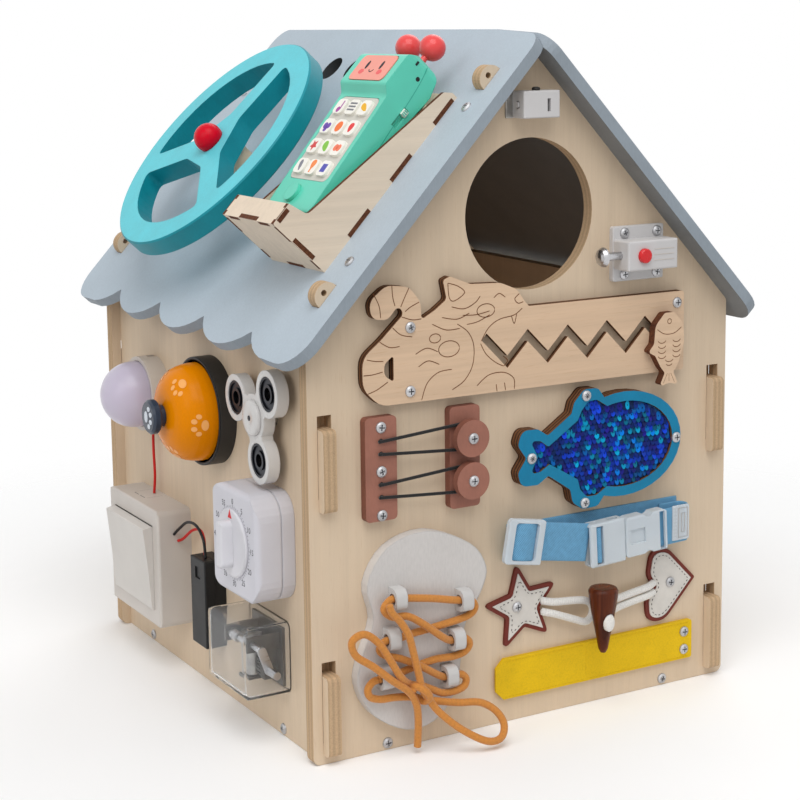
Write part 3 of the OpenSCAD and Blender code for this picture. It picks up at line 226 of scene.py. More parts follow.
def wood(name, base, along, drift, rough, bump):
    """Sanded veneer: long soft figure, fine fibres and short dark pores."""
    m = Mat(name, rough)
    figure, fibre, pore = (tuple(k if a == along else 1 for a in "xyz") for k in (0.035, 0.02, 0.05))
    fine = m.noise(900, 3, 0.6, stretch=fibre)
    tone = m.tones(m.noise(150, 3, 0.5, 0.8, figure), base, 1 - drift, 1 + drift * 0.6)
    fibres = m.ramp(fine, [(0.35, (251, 250, 249)), (0.65, (255, 255, 255))])
    pores = m.ramp(m.noise(1700, 2, 0.5, stretch=pore), [(0.28, (248, 244, 239)), (0.38, (255, 255, 255))])
    m.color(m.mix(1.0, m.mix(0.7, tone, fibres, "MULTIPLY"), pores, "MULTIPLY"))
    m.rough(fine, rough - 0.08, rough + 0.1).bump(fine, bump, 0.0002)


def ply_edge(name, base, axis, layer_mm, start, dark=0.9):
    """Edge of plywood: thin layers, light and dark in turn, with torn fibres."""
    m = Mat(name, 0.75)
    place = m.math("MULTIPLY", m.axis(axis), 1 / (2 * layer_mm * MM))
    place = m.math("ADD", place, m.math("MULTIPLY", m.noise(300, 2), 0.16))
    stops = ((0.0, 1.02), (0.46, 0.98), (0.5, dark), (0.96, dark + 0.06), (1.0, 1.02))
    layer = m.ramp(m.math("FRACT", m.math("ADD", place, start)), [(p, shade(base, k)) for p, k in stops])
    fine = m.noise(1500, 3)
    torn = m.ramp(fine, [(0.3, shade(base, 0.7)), (0.7, (255, 250, 240))])
    m.color(m.mix(0.35, layer, torn, "MULTIPLY")).bump(fine, 0.35, 0.0003)


def burnt(name, a, b):
    """Laser-cut edge or line, scorched unevenly."""
    m = Mat(name, 0.85)
    f = m.noise(500)
    pale = m.ramp(f, [(0.3, a), (0.7, b)])
    m.color(m.mix(m.noise(60, 2), m.tones(f, a, 0.8, 1), pale)).bump(f, 0.3, 0.0003)


def paint(name, base, rough, vary, grain, scale, ease=0.0, spec=SPECULAR, fleck=900):
    """Painted wood: brushed film over fine grain, a little uneven."""
    m = Mat(name, rough, Specular_IOR_Level=spec)
    big = m.noise(scale, rough=0.6)
    fine = m.noise(fleck, 3, stretch=(1, 1, 0.25))
    flecks = m.tones(fine, base, 0.8, 1.12, 0.35, 0.65)
    m.ease(ease).color(m.mix(0.10, m.tones(big, base, 1 - vary, 1 + vary * 0.7), flecks))
    m.rough(big, rough - 0.06, rough + 0.08).bump(fine, grain, 0.0002)


def plastic(name, base, rough, vary=0.025, bump=0.04, coat=0.0, ease=0.0, tex=2500, **sockets):
    """Moulded plastic: faint tone drift and a fine spark-eroded texture."""
    m = Mat(name, rough, Coat_Weight=coat, **sockets)
    m.ease(ease).color(m.tones(m.noise(22, 3), base, 1 - vary, 1 + vary))
    m.rough(m.noise(70, 3), rough - 0.06, rough + 0.08).bump(m.noise(tex, 2), bump, 0.0001)


def metal(name, base, rough, vary, scratch=(1, 1, 0.05), tex=700):
    """Metal with drifting tone and fine scratches."""
    m = Mat(name, rough, Metallic=1.0)
    fine = m.noise(tex, 3, stretch=scratch)
    m.color(m.tones(m.noise(120), base, 1 - vary, 1 + vary))
    m.rough(fine, rough - 0.1, rough + 0.15).bump(fine, 0.05, 0.0001)


def webbing(name, base, pitch_mm=1.3):
    """Woven tape: ribs along its length crossed by the weft, with painted shade in the weave's hollows and a
    painted highlight on its ribs.
    """
    m = Mat(name, 0.7, Sheen_Weight=0.1)
    u = m.math("SINE", m.turns(0, 1 / (pitch_mm * MM)))
    v = m.math("SINE", m.turns(1, 1 / (1.25 * pitch_mm * MM)))
    h = m.math("ADD", m.math("MULTIPLY", m.math("MULTIPLY", u, v), 0.5), 0.5)
    c = m.ramp(h, [(0.1, shade(base, 0.80)), (0.6, base), (1.0, shade(base, 1.08))])
    m.color(m.mix(0.25, c, m.tones(m.noise(300, 3), base, 0.85, 1.12))).bump(h, 0.5, 0.0003)


def braid(name, base, strands, pitch_mm, rough, depth, dark):
    """Round braided cord: two crossing sets of strands over the tube's own UV; dark sets the painted shade in
    the grooves between strands, and the crowns get a matching painted highlight.
    """
    m = Mat(name, rough, Sheen_Weight=0.25)
    u, v = m.turns(0, strands), m.turns(1, 1 / (pitch_mm * MM))
    a, b = m.math("SINE", m.math("ADD", u, v)), m.math("SINE", m.math("SUBTRACT", u, v))
    h = m.math("MULTIPLY", m.math("ADD", m.math("MULTIPLY", a, b), 1.0), 0.5)
    n = m.noise(900, 3)
    c = m.ramp(h, [(0.0, shade(base, dark)), (0.45, base), (1.0, shade(base, 1.3 - 0.3 * dark))])
    m.color(m.mix(0.25, c, m.tones(n, base, 0.82, 1.14))).bump(h, depth, 0.0005).bump(n, 0.2, 0.0002)


def leather(name, base, rough):
    """Leather with a fine pebbled grain."""
    m = Mat(name, rough)
    n = m.noise(60)
    m.color(m.tones(n, base, 0.95, 1.03)).bump(m.cells(700.0), 0.35, 0.0002)
    m.rough(n, rough - 0.08, rough + 0.1)


def hook_cloth(name, base, loops):
    """Hook or loop tape: small cells, fuzz and slow drift of the dye, with painted shade where the cells sink
    between the loops.
    """
    m = Mat(name, 0.85, Sheen_Weight=0.05)
    v, n = m.cells(loops), m.noise(900, 3)
    c = m.ramp(v, [(0.0, shade(base, 1.04)), (0.5, base), (0.9, shade(base, 0.93))])
    c = m.mix(0.3, c, m.tones(n, base, 0.9, 1.06))
    c = m.mix(0.35, c, m.tones(m.noise(40, 3), base, 0.9, 1.05))
    m.color(c).bump(v, -0.4, 0.0004).bump(n, 0.2, 0.0002)


def dress(node, mats, pick=lambda p: 0):
    """Materials on a CAD node; pick gives the number of the one that a polygon takes."""
    me = nodes[node].data
    me.materials.clear()
    for m in mats:
        me.materials.append(MATS[m])
    me.polygons.foreach_set("material_index", np.array([pick(p) for p in me.polygons], np.int32))
    me.update()


def put_on(name, on):
    for node in on.split():
        dress(node, [name])


def make_all(make, *rows):
    """Makes the material of each row and puts it on the CAD nodes that the row names."""
    for name, on, *values in rows:
        make(name, *values)
        put_on(name, on)


BIRCH, CUT_PLY = (217, 196, 170), (205, 176, 142)
make_all(
    wood,  # colour, way of the grain, drift of tone, roughness, bump
    ("birch_upright", "", BIRCH, "z", 0.018, 0.5, 0.06),
    ("birch_across", "wheel_post", BIRCH, "x", 0.018, 0.5, 0.06),
    ("birch_deep", "", BIRCH, "y", 0.018, 0.5, 0.06),
    ("holder_ply", "", (228, 211, 190), "x", 0.03, 0.6, 0.05),
    ("cat_ply", "", (220, 190, 160), "x", 0.04, 0.55, 0.08),
)
make_all(
    ply_edge,  # colour, axis across the layers, layer in mm, start, dark layers
    ("ply_edge_x", "", CUT_PLY, 0, 1.8, 0.1),
    ("ply_edge_y", "", CUT_PLY, 1, 1.8, 0.3),
    ("ply_edge_z", "", CUT_PLY, 2, 1.8, 0.0),
    ("burnt_layers", "", (122, 80, 50), 1, 1.4, 0.2, 0.5),
)
burnt("burnt_edge", (78, 42, 27), (128, 78, 48))
burnt("engraved_line", (104, 62, 36), (140, 92, 56))
make_all(
    paint,  # colour, roughness, drift, grain, scale of the drift, eased edge in mm, specular, fleck
    ("roof_paint", "", (178, 190, 200), 0.55, 0.025, 0.10, 18),
    ("roof_edge", "", (148, 158, 167), 0.6, 0.03, 0.14, 30),
    # The underside and the finger holes take darker greys: painted shade.
    ("roof_under", "", (128, 130, 131), 0.65, 0.04, 0.12, 30),
    ("roof_hole", "", (62, 64, 66), 0.7, 0.05, 0.12, 30),
    # The wheel's one teal paint in two copies: lighter on its lit top, darker on its sides as painted shade.
    ("teal_top", "", (94, 202, 214), 0.42, 0.04, 0.10, 40, 1.0),
    ("teal_side", "", (10, 136, 150), 0.46, 0.06, 0.12, 40),
    ("red_gloss", "hub_ball", (214, 6, 36), 0.22, 0.04, 0.02, 60, 2.0, 0.12),
    ("bell_enamel", "bell_dome", (228, 134, 0), 0.2, 0.02, 0.005, 30, 1.5, 0.08, 2000),
    # The elastic plates' sides take a darker copy of the mauve: painted shade.
    ("mauve_paint", "", (158, 106, 90), 0.55, 0.07, 0.18, 40),
    ("mauve_side", "", (128, 80, 66), 0.6, 0.08, 0.2, 40),
    ("frame_blue", "", (8, 124, 164), 0.45, 0.06, 0.12, 40),
    ("shoe_white", "shoe_plate", (206, 202, 199), 0.5, 0.015, 0.04, 30, 2.0),
)
make_all(
    plastic,  # colour, roughness, drift, bump, coat, eased edge in mm
    ("mint_plastic", "phone_shell phone_button", (92, 205, 180), 0.32, 0.03, 0.03, 0.2, 0.8),
    ("mint_shadow", "", (60, 165, 145), 0.4),
    ("coral_plastic", "phone_screen", (240, 148, 130), 0.3, 0.03, 0.02, 0.3),
    ("antenna_coral", "phone_antennas", (232, 72, 72), 0.3, 0.03, 0.02, 0.3),
    ("key_ivory", "phone_switch", (244, 241, 232), 0.4, 0.02),
    ("keypad_ivory", "", (206, 203, 194), 0.45, 0.03),
    ("socket_white", "lamp_socket", (208, 199, 189), 0.45, 0.03),
    ("dark_plastic", "bell_base", (52, 50, 48), 0.45, 0.08, 0.08),
    ("black_plastic", "battery_box", (30, 30, 31), 0.42, 0.08, 0.08),
    ("navy_plastic", "bell_button", (40, 50, 66), 0.35, 0.05, 0.03, 0.3),
    ("spinner_white", "spinner_body", (212, 210, 208), 0.28, 0.02, 0.02, 0.3, 1.0),
    ("switch_white", "switch_box", (202, 195, 188), 0.35, 0.02, 0.03),
    ("rocker_white", "switch_rocker", (208, 203, 197), 0.3, 0.02, 0.02),
    ("timer_white", "timer_case", (208, 207, 214), 0.4, 0.02, 0.05, 0.0, 1.5),
    ("dial_white", "timer_dial", (214, 213, 218), 0.35, 0.02, 0.02, 0.0, 1.5),
    ("latch_white", "top_catch latch_body", (204, 202, 202), 0.35, 0.02),
    ("button_red", "latch_button", (214, 28, 34), 0.28, 0.04, 0.02, 0.3),
    ("lug_white", "lace_lugs", (198, 196, 194), 0.4, 0.02, 0.04, 0.0, 1.0),
    ("thread_dark", "", (52, 40, 40), 0.8),
    ("seam_thread", "", (206, 168, 16), 0.8),
    ("wire_red", "", (196, 30, 26), 0.4, 0.04),
    ("wire_black", "", (24, 24, 26), 0.4, 0.06),
    ("print_dark", "", (40, 40, 48), 0.6),
    ("print_red", "", (214, 40, 44), 0.5),
    ("pale_print", "", (214, 220, 228), 0.45),
    ("paw_print", "", (244, 174, 100), 0.3),
    ("soft_line", "", (150, 144, 138), 0.5),
)
plastic("milky_clear", (226, 234, 240), 0.22, 0.02, 0.01, 0.2, Transmission_Weight=0.35)
put_on("milky_clear", "strap_adjuster buckle_socket buckle_prongs")
plastic("globe_frosted", (198, 189, 208), 0.3, 0.02, 0.015, 0.35, 2.0, 3000, Subsurface_Weight=0.3,
        Subsurface_Radius=(0.01, 0.008, 0.01), Subsurface_Scale=0.5)
put_on("globe_frosted", "lamp_globe")
make_all(
    metal,  # colour, roughness, drift, stretch and scale of the scratches
    ("ring_dark", "spinner_rings", (52, 54, 60), 0.32, 0.12),
    ("mech_steel", "spinner_axle music_drum", (176, 174, 170), 0.32, 0.12),
    ("mech_dark", "music_frame", (104, 102, 99), 0.4, 0.12),
    ("screw_zinc", "screws", (184, 184, 186), 0.42, 0.10, (1, 1, 1), 900),
    ("bolt_chrome", "music_crank latch_bolt", (190, 190, 192), 0.28, 0.04, (0.1, 1, 1)),
)
webbing("strap_blue", (104, 161, 198))
# The last value of each braid darkens the grooves between strands: painted shade.
braid("lace_tan", (198, 130, 58), 3.0, 6.0, 0.75, 0.10, 0.95)
braid("cord_white", (226, 223, 218), 7.0, 3.2, 0.75, 0.25, 0.93)
braid("elastic_black", (14, 14, 15), 4.0, 2.4, 0.7, 0.4, 0.62)
leather("white_leather", (214, 209, 202), 0.5)
leather("brown_rim", (112, 44, 34), 0.55)
hook_cloth("hook_yellow", (226, 186, 14), 900.0)
hook_cloth("loop_yellow", (220, 180, 14), 1300.0)
mat = Mat("case_clear", 0.03, Transmission_Weight=0.95, Specular_IOR_Level=0.5, IOR=1.12)
fac = mat.noise(30, 3)
mat.color(mat.tones(fac, (250, 251, 252), 0.97, 1)).rough(fac, 0.021, 0.039)
put_on("case_clear", "music_case")
mat = Mat("horn_brown", 0.18, Specular_IOR_Level=0.16).ease(2.0)
fac = mat.noise(120, 4, 0.6, 1.2, (1, 1, 0.12))
browns = [(0.25, (56, 22, 10)), (0.5, (84, 36, 15)), (0.68, (106, 50, 22)), (0.8, (128, 72, 38))]
mat.color(mat.ramp(fac, browns)).rough(fac, 0.12, 0.28)
put_on("horn_brown", "toggle_horn")
mat = Mat("cloth_navy", 0.8)
fac = mat.noise(1500, 2)
mat.color(mat.ramp(fac, [(0.3, (18, 40, 92)), (0.7, (36, 84, 140))])).bump(fac, 0.4, 0.0003)
mat = Mat("sequin", 0.35, Specular_IOR_Level=0.13)
fac = mat.noise(2500, 2)
tint = mat.n("Attribute", attribute_name="tint").outputs["Color"]
mat.color(mat.mix(0.2, tint, mat.ramp(fac, [(0.3, (4, 24, 90)), (0.7, (20, 100, 170))])))
mat.rough(fac, 0.28, 0.42)

# CAD nodes with more than one material
X, Y, Z = (1, 0, 0), (0, 1, 0), (0, 0, 1)
BROAD = 0.8
BOARDS = {  # material of the broad faces, of the edges, and the broad faces' normal
    "front_panel": ("birch_upright", "ply_edge_y", Y), "back_panel": ("birch_upright", "ply_edge_y", Y),
    "left_wall": ("birch_upright", "ply_edge_x", X), "right_wall": ("birch_upright", "ply_edge_x", X),
    "base_panel": ("birch_deep", "ply_edge_z", Z), "steering_wheel": ("teal_top", "teal_side", ROOF.w),
    "cat_board": ("cat_ply", "burnt_layers", Y), "fish_slider": ("cat_ply", "burnt_edge", Y),
    "elastic_plates": ("mauve_paint", "mauve_side", Y), "fish_frame": ("frame_blue", "burnt_layers", Y),
}
for node, (broad, edge, normal) in BOARDS.items():
    normal = Vector(normal).normalized()
    dress(node, [broad, edge], lambda p: 0 if abs(p.normal.dot(normal)) > BROAD else 1)

HOLE_U, HOLE_REACH, HOLE_FACET = 29, 10.5, 3e-4


def roof_layer(p, up_way, holes):
    """Paint on top of a slab, darker on its sawn edges; painted shade on the underside and, darkest, in the
    finger holes.
    """
    lean = p.normal.dot(up_way)
    if abs(lean) > 0.7:
        return 0 if lean > 0 else 2
    near = abs((p.center / MM - ROOF.o).dot(ROOF.u) - HOLE_U) < HOLE_REACH
    return 3 if holes and near and p.area < HOLE_FACET else 1


ROOF_MATS = ("roof_paint", "roof_edge", "roof_under", "roof_hole")
dress("roof_left", ROOF_MATS, lambda p: roof_layer(p, ROOF.w, True))
dress("roof_right", ROOF_MATS, lambda p: roof_layer(p, Vector((-ROOF.w.x, 0, ROOF.w.z)), False))

CHEEK_IN = (71.2, 136.8)
KEY_GROUND = 0.6


def holder_layer(p):
    """Burnt edges on the holder's two cheeks."""
    inner = CHEEK_IN[0] <= -p.center.y / MM <= CHEEK_IN[1]
    return 0 if inner or abs(p.normal.y) >= BROAD else 1


dress("holder_box", ("holder_ply", "burnt_edge"), holder_layer)
# Ivory keys; the keypad ground below KEY_GROUND takes a darker ivory, painted shade between the keys.
dress("phone_keypad", ("key_ivory", "keypad_ivory"),
      lambda p: 1 if (p.center / MM - KEYS.o).dot(KEYS.w) < KEY_GROUND else 0)


# Meshes
def add_mesh(name, verts, faces, mat, body="house", node=None, smooth=True, uvs=None):
    """A piece that rides on a body and may stand for a CAD node, which it then hides."""
    me = bpy.data.meshes.new(name)
    me.from_pydata([tuple(v) for v in verts], [], faces)
    me.materials.append(MATS[mat])
    if uvs is not None:
        flat = [c for f in uvs for uv in f for c in uv]
        me.uv_layers.new(name="UVMap").data.foreach_set("uv", np.array(flat, np.float32))
    me.polygons.foreach_set("use_smooth", np.full(len(me.polygons), smooth))
    me.update()
    o = bpy.data.objects.new(name, me)
    scene.collection.objects.link(o)
    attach(o, body)
    if node:
        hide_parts(node)
    return o


def bands(rows, n, first=0, flip=False):
    """Quads between rows of n vertices that close into rings."""
    out = []
    for i in range(rows - 1):
        for k in range(n):
            a, b, j = first + i * n, first + (i + 1) * n, (k + 1) % n
            out.append((a + k, b + k, b + j, a + j) if flip else (a + k, a + j, b + j, b + k))
    return out


def runs(pts):
    """Length of a line up to each of its points."""
    out = [0.0]
    for a, b in zip(pts, pts[1:]):
        out.append(out[-1] + (b - a).length)
    return out


def ways(pts):
    """Direction of a line at each of its points."""
    last = len(pts) - 1
    return [(pts[min(i + 1, last)] - pts[max(i - 1, 0)]).normalized() for i in range(last + 1)]


def spline(pts, n):
    """Smooth open line through the points, n steps to a span."""
    p = [Vector(q) for q in pts]
    out = []
    for i in range(len(p) - 1):
        a, b, c, d = p[max(i - 1, 0)], p[i], p[i + 1], p[min(i + 2, len(p) - 1)]
        for k in range(n):
            t = k / n
            bend = (c - a) * t + (2 * a - 5 * b + 4 * c - d) * t * t + (3 * b - a - 3 * c + d) * t**3
            out.append(b + bend / 2)
    out.append(p[-1])
    return out


def resample(pts, step):
    """Points at even steps along a line, and its length."""
    lengths = runs(pts)
    n = max(2, int(round(lengths[-1] / step)))
    out, j = [], 0
    for i in range(n + 1):
        s = lengths[-1] * i / n
        while j < len(pts) - 2 and lengths[j + 1] < s:
            j += 1
        k = (s - lengths[j]) / max(1e-12, lengths[j + 1] - lengths[j])
        out.append(pts[j].lerp(pts[j + 1], min(1, max(0, k))))
    return out, lengths[-1]


def tube(name, path, r, mat, slot, node=None, sides=16, swell=None):
    """Round cord along path (metres); UV u once round, v is the length in metres."""
    n, way, run = len(path), ways(path), runs(path)
    q = way[0].cross(Vector((0, 0, 1)))
    if q.length < 0.2:
        q = way[0].cross(Vector((1, 0, 0)))
    verts, uvs = [], []
    for p, t, along in zip(path, way, run):
        q = (q - t * q.dot(t)).normalized()
        s = t.cross(q)
        for k in range(sides):
            x, y = polar(r * swell(k / sides, along) if swell else r, 360 * k / sides)
            verts.append(p + q * x + s * y)
    faces = bands(n, sides)
    for v0, v1 in zip(run, run[1:]):
        for k in range(sides):
            u0, u1 = k / sides, (k + 1) / sides
            uvs.append(((u0, v0), (u1, v0), (u1, v1), (u0, v1)))
    for base, flip, along, end in ((0, True, -way[0], path[0]), ((n - 1) * sides, False, way[-1], path[-1])):
        c = len(verts)
        verts.append(end + along * r * 0.45)
        for k in range(sides):
            k2 = (k + 1) % sides
            faces.append((base + k2, base + k, c) if flip else (base + k, base + k2, c))
            uvs.append(((0, 0), (0.1, 0), (0, 0.0005)))
    return add_mesh(name, verts, faces, mat, node=node, uvs=uvs)


def braided(strands, pitch, depth):
    """Swell of a braided cord by the part of a turn and the length."""

    def f(u, s):
        a = math.sin(2 * math.pi * (u * strands + s / pitch))
        b = math.sin(2 * math.pi * (u * strands - s / pitch))
        return 1 - depth + depth * a * b

    return f


def route(pts, per_span=12, step=0.0008):
    return resample(spline(pts, per_span), step)


def cord(name, line, r, dressing, sides=16, swell=None, **facts):
    """A cord along a route, with its material, slot and CAD node as its dressing; the slot is not used."""
    path, length = line
    o = tube(name, path, r, *dressing, sides, swell)


# Cords, by the points of the part's source: x, z and height over the face
SHOE_T = 8
LACING = [
    (-121, 52.5, 5), (-116, 52.5, 5), (-110, 53, 5), (-98, 54.5, 3.4), (-80, 57, 3.2), (-66, 56.5, 3.2),
    (-57.5, 58.7, 4), (-55, 64, 5), (-59, 68, 5), (-64.5, 68, 5), (-70, 68.5, 5.4), (-78, 73.5, 8.4),
    (-90, 83, 9), (-101, 90, 7.5), (-111, 90.8, 5.5), (-116.5, 96.3, 5), (-112, 101.5, 5), (-106.5, 101.5, 5),
    (-100, 100.8, 5), (-82, 97.5, 5), (-65, 93.5, 5), (-58.5, 92.5, 5), (-53, 91, 5), (-50.5, 85.8, 4.4),
    (-56, 81, 3.4), (-75, 78.5, 3.2), (-95, 77, 3.4), (-105, 76.5, 5), (-111, 76.5, 5), (-117, 75.5, 5),
    (-120, 71, 5), (-115, 66.5, 5), (-106, 63.5, 6.5), (-94, 57.5, 9), (-84, 51, 7.5), (-75, 45.5, 5),
    (-70, 45, 5), (-65, 45, 5),
]
KNOT = [
    (-101, 44.5, 9.5), (-99.5, 47, 14.5), (-94.5, 43.5, 17.8), (-91.5, 38.5, 16.5), (-92.5, 35, 11.5),
    (-97, 37.5, 8.6), (-101, 43, 9.8), (-100.5, 45.5, 14),
]
LEFT_END = [
    (-122, 52.4, 5), (-125.5, 51.4, 5), (-128.6, 47.5, 5), (-127, 42.5, 5.2), (-120, 39.8, 5.6),
    (-110, 39.3, 6.2), (-98, 37.3, 7), (-85, 33, 8.5), (-68, 29, 11), (-53, 27, 14), (-44, 21, 18.5),
    (-41, 13, 23), (-46, 6.5, 27), (-57, 7, 27.5), (-72, 16, 22), (-84, 27.5, 15.5), (-91, 37.5, 14),
    (-95.5, 45, 14.5), (-98.5, 56, 15), (-102, 70, 15), (-105, 81, 14.8), (-110, 90, 13.5), (-115, 96, 12.5),
    (-116.5, 101, 12),
]
RIGHT_END = [
    (-64, 44.9, 5), (-60.5, 44, 5), (-57.8, 40.8, 5.2), (-59.5, 36.6, 5.6), (-66, 34.8, 6),
    (-75.5, 35.3, 6.2), (-83, 39, 6.8), (-91, 43.2, 7.4), (-101, 47, 9), (-110, 54.5, 13.8),
    (-117, 66, 13.8), (-124, 78, 12), (-133, 85, 10), (-141, 81.5, 9), (-139, 72.5, 9.5), (-128, 64, 12),
    (-116, 53.5, 13.8), (-107, 46.5, 13.8), (-101.5, 40.5, 12.8), (-98, 33, 12), (-96, 24, 10), (-95, 14, 8),
    (-95, 4.5, 7),
]
LACE_R = 0.0024
LACE_DRESSING = ("lace_tan", "tan_lace")
lace_swell = braided(3, 0.006, 0.012)


def lace_route(pts):
    return route([FRONT.at(x, z, o + SHOE_T) for x, z, o in pts])


tube("shoe_lacing", lace_route(LACING)[0], LACE_R, *LACE_DRESSING, "shoe_lace", swell=lace_swell)
knot = tube("lace_knot", lace_route(KNOT)[0], LACE_R, *LACE_DRESSING, swell=lace_swell)
for name, pts, on_it in (("lace_end_left", LEFT_END, [knot]), ("lace_end_right", RIGHT_END, [])):
    cord(name, lace_route(pts), LACE_R, (*LACE_DRESSING, "lace_ends"), swell=lace_swell, far_end="bare",
         stiffness="limp", lay="hanging", with_pieces=on_it)

ELASTIC_R = 1.05
PEG_X, PEG_R, PEG_BASE, HOLE_X = -53, 7, 6, -113
for i, z in enumerate((196, 169)):
    o, r = PEG_BASE + ELASTIC_R + 0.4, PEG_R + ELASTIC_R + 0.3
    pts = [(HOLE_X, z + 4, 3.2), (HOLE_X, z + 4, 6.6), (HOLE_X + 2.5, z + 4.2, o)]
    pts += [(PEG_X + q.x, z + q.y, o) for q in (polar(r, a) for a in range(95, -96, -19))]
    pts += [(HOLE_X + 2.5, z - 4.2, o), (HOLE_X, z - 4, 6.6), (HOLE_X, z - 4, 3.2)]
    cord("elastic_loop_%d" % (i + 1), route([FRONT.at(*q) for q in pts], 8), ELASTIC_R * MM,
         ("elastic_black", "black_elastic", "elastic_cords"), 12, far_end="object", stiffness="limp",
         lay="taut")

TOGGLE_R, PATCH_T = 2.6, 3
STAR_LOOP = [
    (6.5, 78.2), (10, 77.4), (16, 76.4), (30, 75), (39, 73.4), (43.6, 70.5), (45.3, 66), (43.6, 61),
    (39, 58.9), (30, 62.3), (16, 68), (10, 69.9), (6.5, 70.9),
]
HEART_LOOP = [
    (97.3, 74.8), (94.5, 74.3), (90, 73.6), (78, 72), (66.5, 70.3), (58, 69.6), (53.5, 68.5), (51.8, 65.3),
    (53.5, 62.2), (58, 61.8), (67, 64.2), (78, 66), (90, 67.7), (94.5, 68.2), (97.3, 68.6),
]
for name, pts in (("toggle_loop_star", STAR_LOOP), ("toggle_loop_heart", HEART_LOOP)):
    drop = [2.4, 1.2] + [0.0] * (len(pts) - 4) + [1.2, 2.4]
    pts = [FRONT.at(x, z, PATCH_T + TOGGLE_R + 0.3 - k) for (x, z), k in zip(pts, drop)]
    cord(name, route(pts, 10), TOGGLE_R * MM, ("cord_white", "white_cord", "toggle_cords"),
         swell=braided(4, 0.0055, 0.05), far_end="object", stiffness="limp", lay="loose")

WIRE_R = 1.0
WIRES = {
    "wire_lamp": ("wire_red", [(-87, 168, 4), (-85, 150, 5), (-84, 132, 5), (-84, 118.3, 6)]),
    "wire_red": ("wire_red", [(-32.7, 96, 10), (-26, 99, 9), (-15, 107, 7), (-4, 110, 6), (5, 106, 7),
                              (8, 95.7, 8)]),
    "wire_black": ("wire_black", [(-32.7, 101, 13), (-25, 107, 12), (-13, 114, 11), (2, 115, 11),
                                  (13, 108, 11), (16, 95.7, 11)]),
}
for name, (mat, pts) in WIRES.items():
    cord(name, route([LEFT.at(*q) for q in pts], step=0.001), WIRE_R * MM, (mat, "wire_red", "wires"), 12,
         far_end="object", stiffness="medium", lay="loose")


# Outlines and flat pieces
def rounded(pts, seg=6):
    """Outline with its corners rounded: x, y and a radius for each corner."""
    out = []
    for i, p in enumerate(pts):
        b = Vector(p[:2])
        r = p[2] if len(p) > 2 else 0
        if r <= 0:
            out.append(b)
            continue
        a, c = Vector(pts[i - 1][:2]), Vector(pts[(i + 1) % len(pts)][:2])
        u, v = (a - b).normalized(), (c - b).normalized()
        half = math.acos(max(-1, min(1, u.dot(v)))) / 2
        cut = min(r / math.tan(half), (a - b).length / 2, (c - b).length / 2)
        s, e = b + u * cut, b + v * cut
        for k in range(seg + 1):
            t = k / seg
            out.append(s * (1 - t) ** 2 + b * 2 * t * (1 - t) + e * t * t)
    clean = [out[0]]
    for q in out[1:]:
        if (q - clean[-1]).length > 0.02:
            clean.append(q)
    if (clean[0] - clean[-1]).length < 0.02:
        clean.pop()
    return clean


def signed_area(p):
    return sum(p[i - 1].x * p[i].y - p[i].x * p[i - 1].y for i in range(len(p))) / 2


def corners(p):
    """Each corner of an outline, with the inward normals of the sides before and after it."""
    s = 1 if signed_area(p) > 0 else -1
    for i, b in enumerate(p):
        u, v = (b - p[i - 1]).normalized(), (p[(i + 1) % len(p)] - b).normalized()
        yield b, Vector((-u.y, u.x)) * s, Vector((-v.y, v.x)) * s


def inset(p, d):
    """A closed line moved in by d."""
    out = []
    for b, nu, nv in corners(p):
        k = (nu + nv).length
        out.append(b + (((nu + nv).normalized() if k > 1e-6 else nu) * d) / max(0.45, k / 2))
    return out


def inset_corners(pts, d):
    """The corners and radii of an outline that turns to the left, each side moved in by d."""
    out = []
    for (b, nu, nv), (_, _, r) in zip(corners([Vector(q[:2]) for q in pts]), pts):
        q = b + (nu + nv) * d / (1 + nu.dot(nv))
        bend = nu.x * nv.y - nu.y * nv.x
        out.append((q.x, q.y, max(0.3, r - d) if bend > 0 else r + d))
    return out


def inside(poly, x, y):
    """Whether a point lies within a closed line."""
    hit = False
    for i, b in enumerate(poly):
        a = poly[i - 1]
        if (a.y > y) != (b.y > y) and x < (b.x - a.x) * (y - a.y) / (b.y - a.y) + a.x:
            hit = not hit
    return hit


def cap(ring, first=0):
    """Triangles over an outline that turns to the left, for vertices that start at first."""
    out = []
    for t in tessellate_polygon([[Vector((q.x, q.y, 0)) for q in ring]]):
        a, b, c = (ring[i] for i in t)
        left = (b.x - a.x) * (c.y - a.y) > (b.y - a.y) * (c.x - a.x)
        out.append(tuple(first + i for i in (t if left else t[::-1])))
    return out


def leftward(line):
    """A closed line as vectors, turning to the left."""
    p = [Vector(q[:2]) for q in line]
    if (p[0] - p[-1]).length < 1e-4:
        p.pop()
    return p if signed_area(p) > 0 else p[::-1]


def plate(name, face, outline, w0, w1, mat, body="house", node=None, bevel=0.3, smooth=False):
    """Solid of an outline between two heights, its upper edge eased; UV in metres on the face."""
    p = leftward(outline)
    n = len(p)
    rings = [(p, w0), (p, w1 - bevel), (inset(p, bevel * 0.4), w1 - bevel * 0.3), (inset(p, bevel), w1)]
    verts = [face.at(q.x, q.y, w) for ring, w in rings for q in ring]
    flat = [(q.x * MM, q.y * MM) for ring, _ in rings for q in ring]
    faces = [f[::-1] for f in cap(p)] + cap(rings[3][0], 3 * n) + bands(4, n)
    uvs = [[flat[i] for i in f] for f in faces]
    return add_mesh(name, verts, faces, mat, body, node, smooth, uvs)


def blobs(name, face, outlines, w0, w1, mat, body="house", node=None):
    """Several small flat prints in one piece."""
    verts, faces = [], []
    for p in map(leftward, outlines):
        n, b = len(p), len(verts)
        verts += [face.at(q.x, q.y, w) for w in (w0, w1) for q in p]
        faces += [f[::-1] for f in cap(p, b)] + cap(p, b + n) + bands(2, n, b)
    return add_mesh(name, verts, faces, mat, body, node, False)


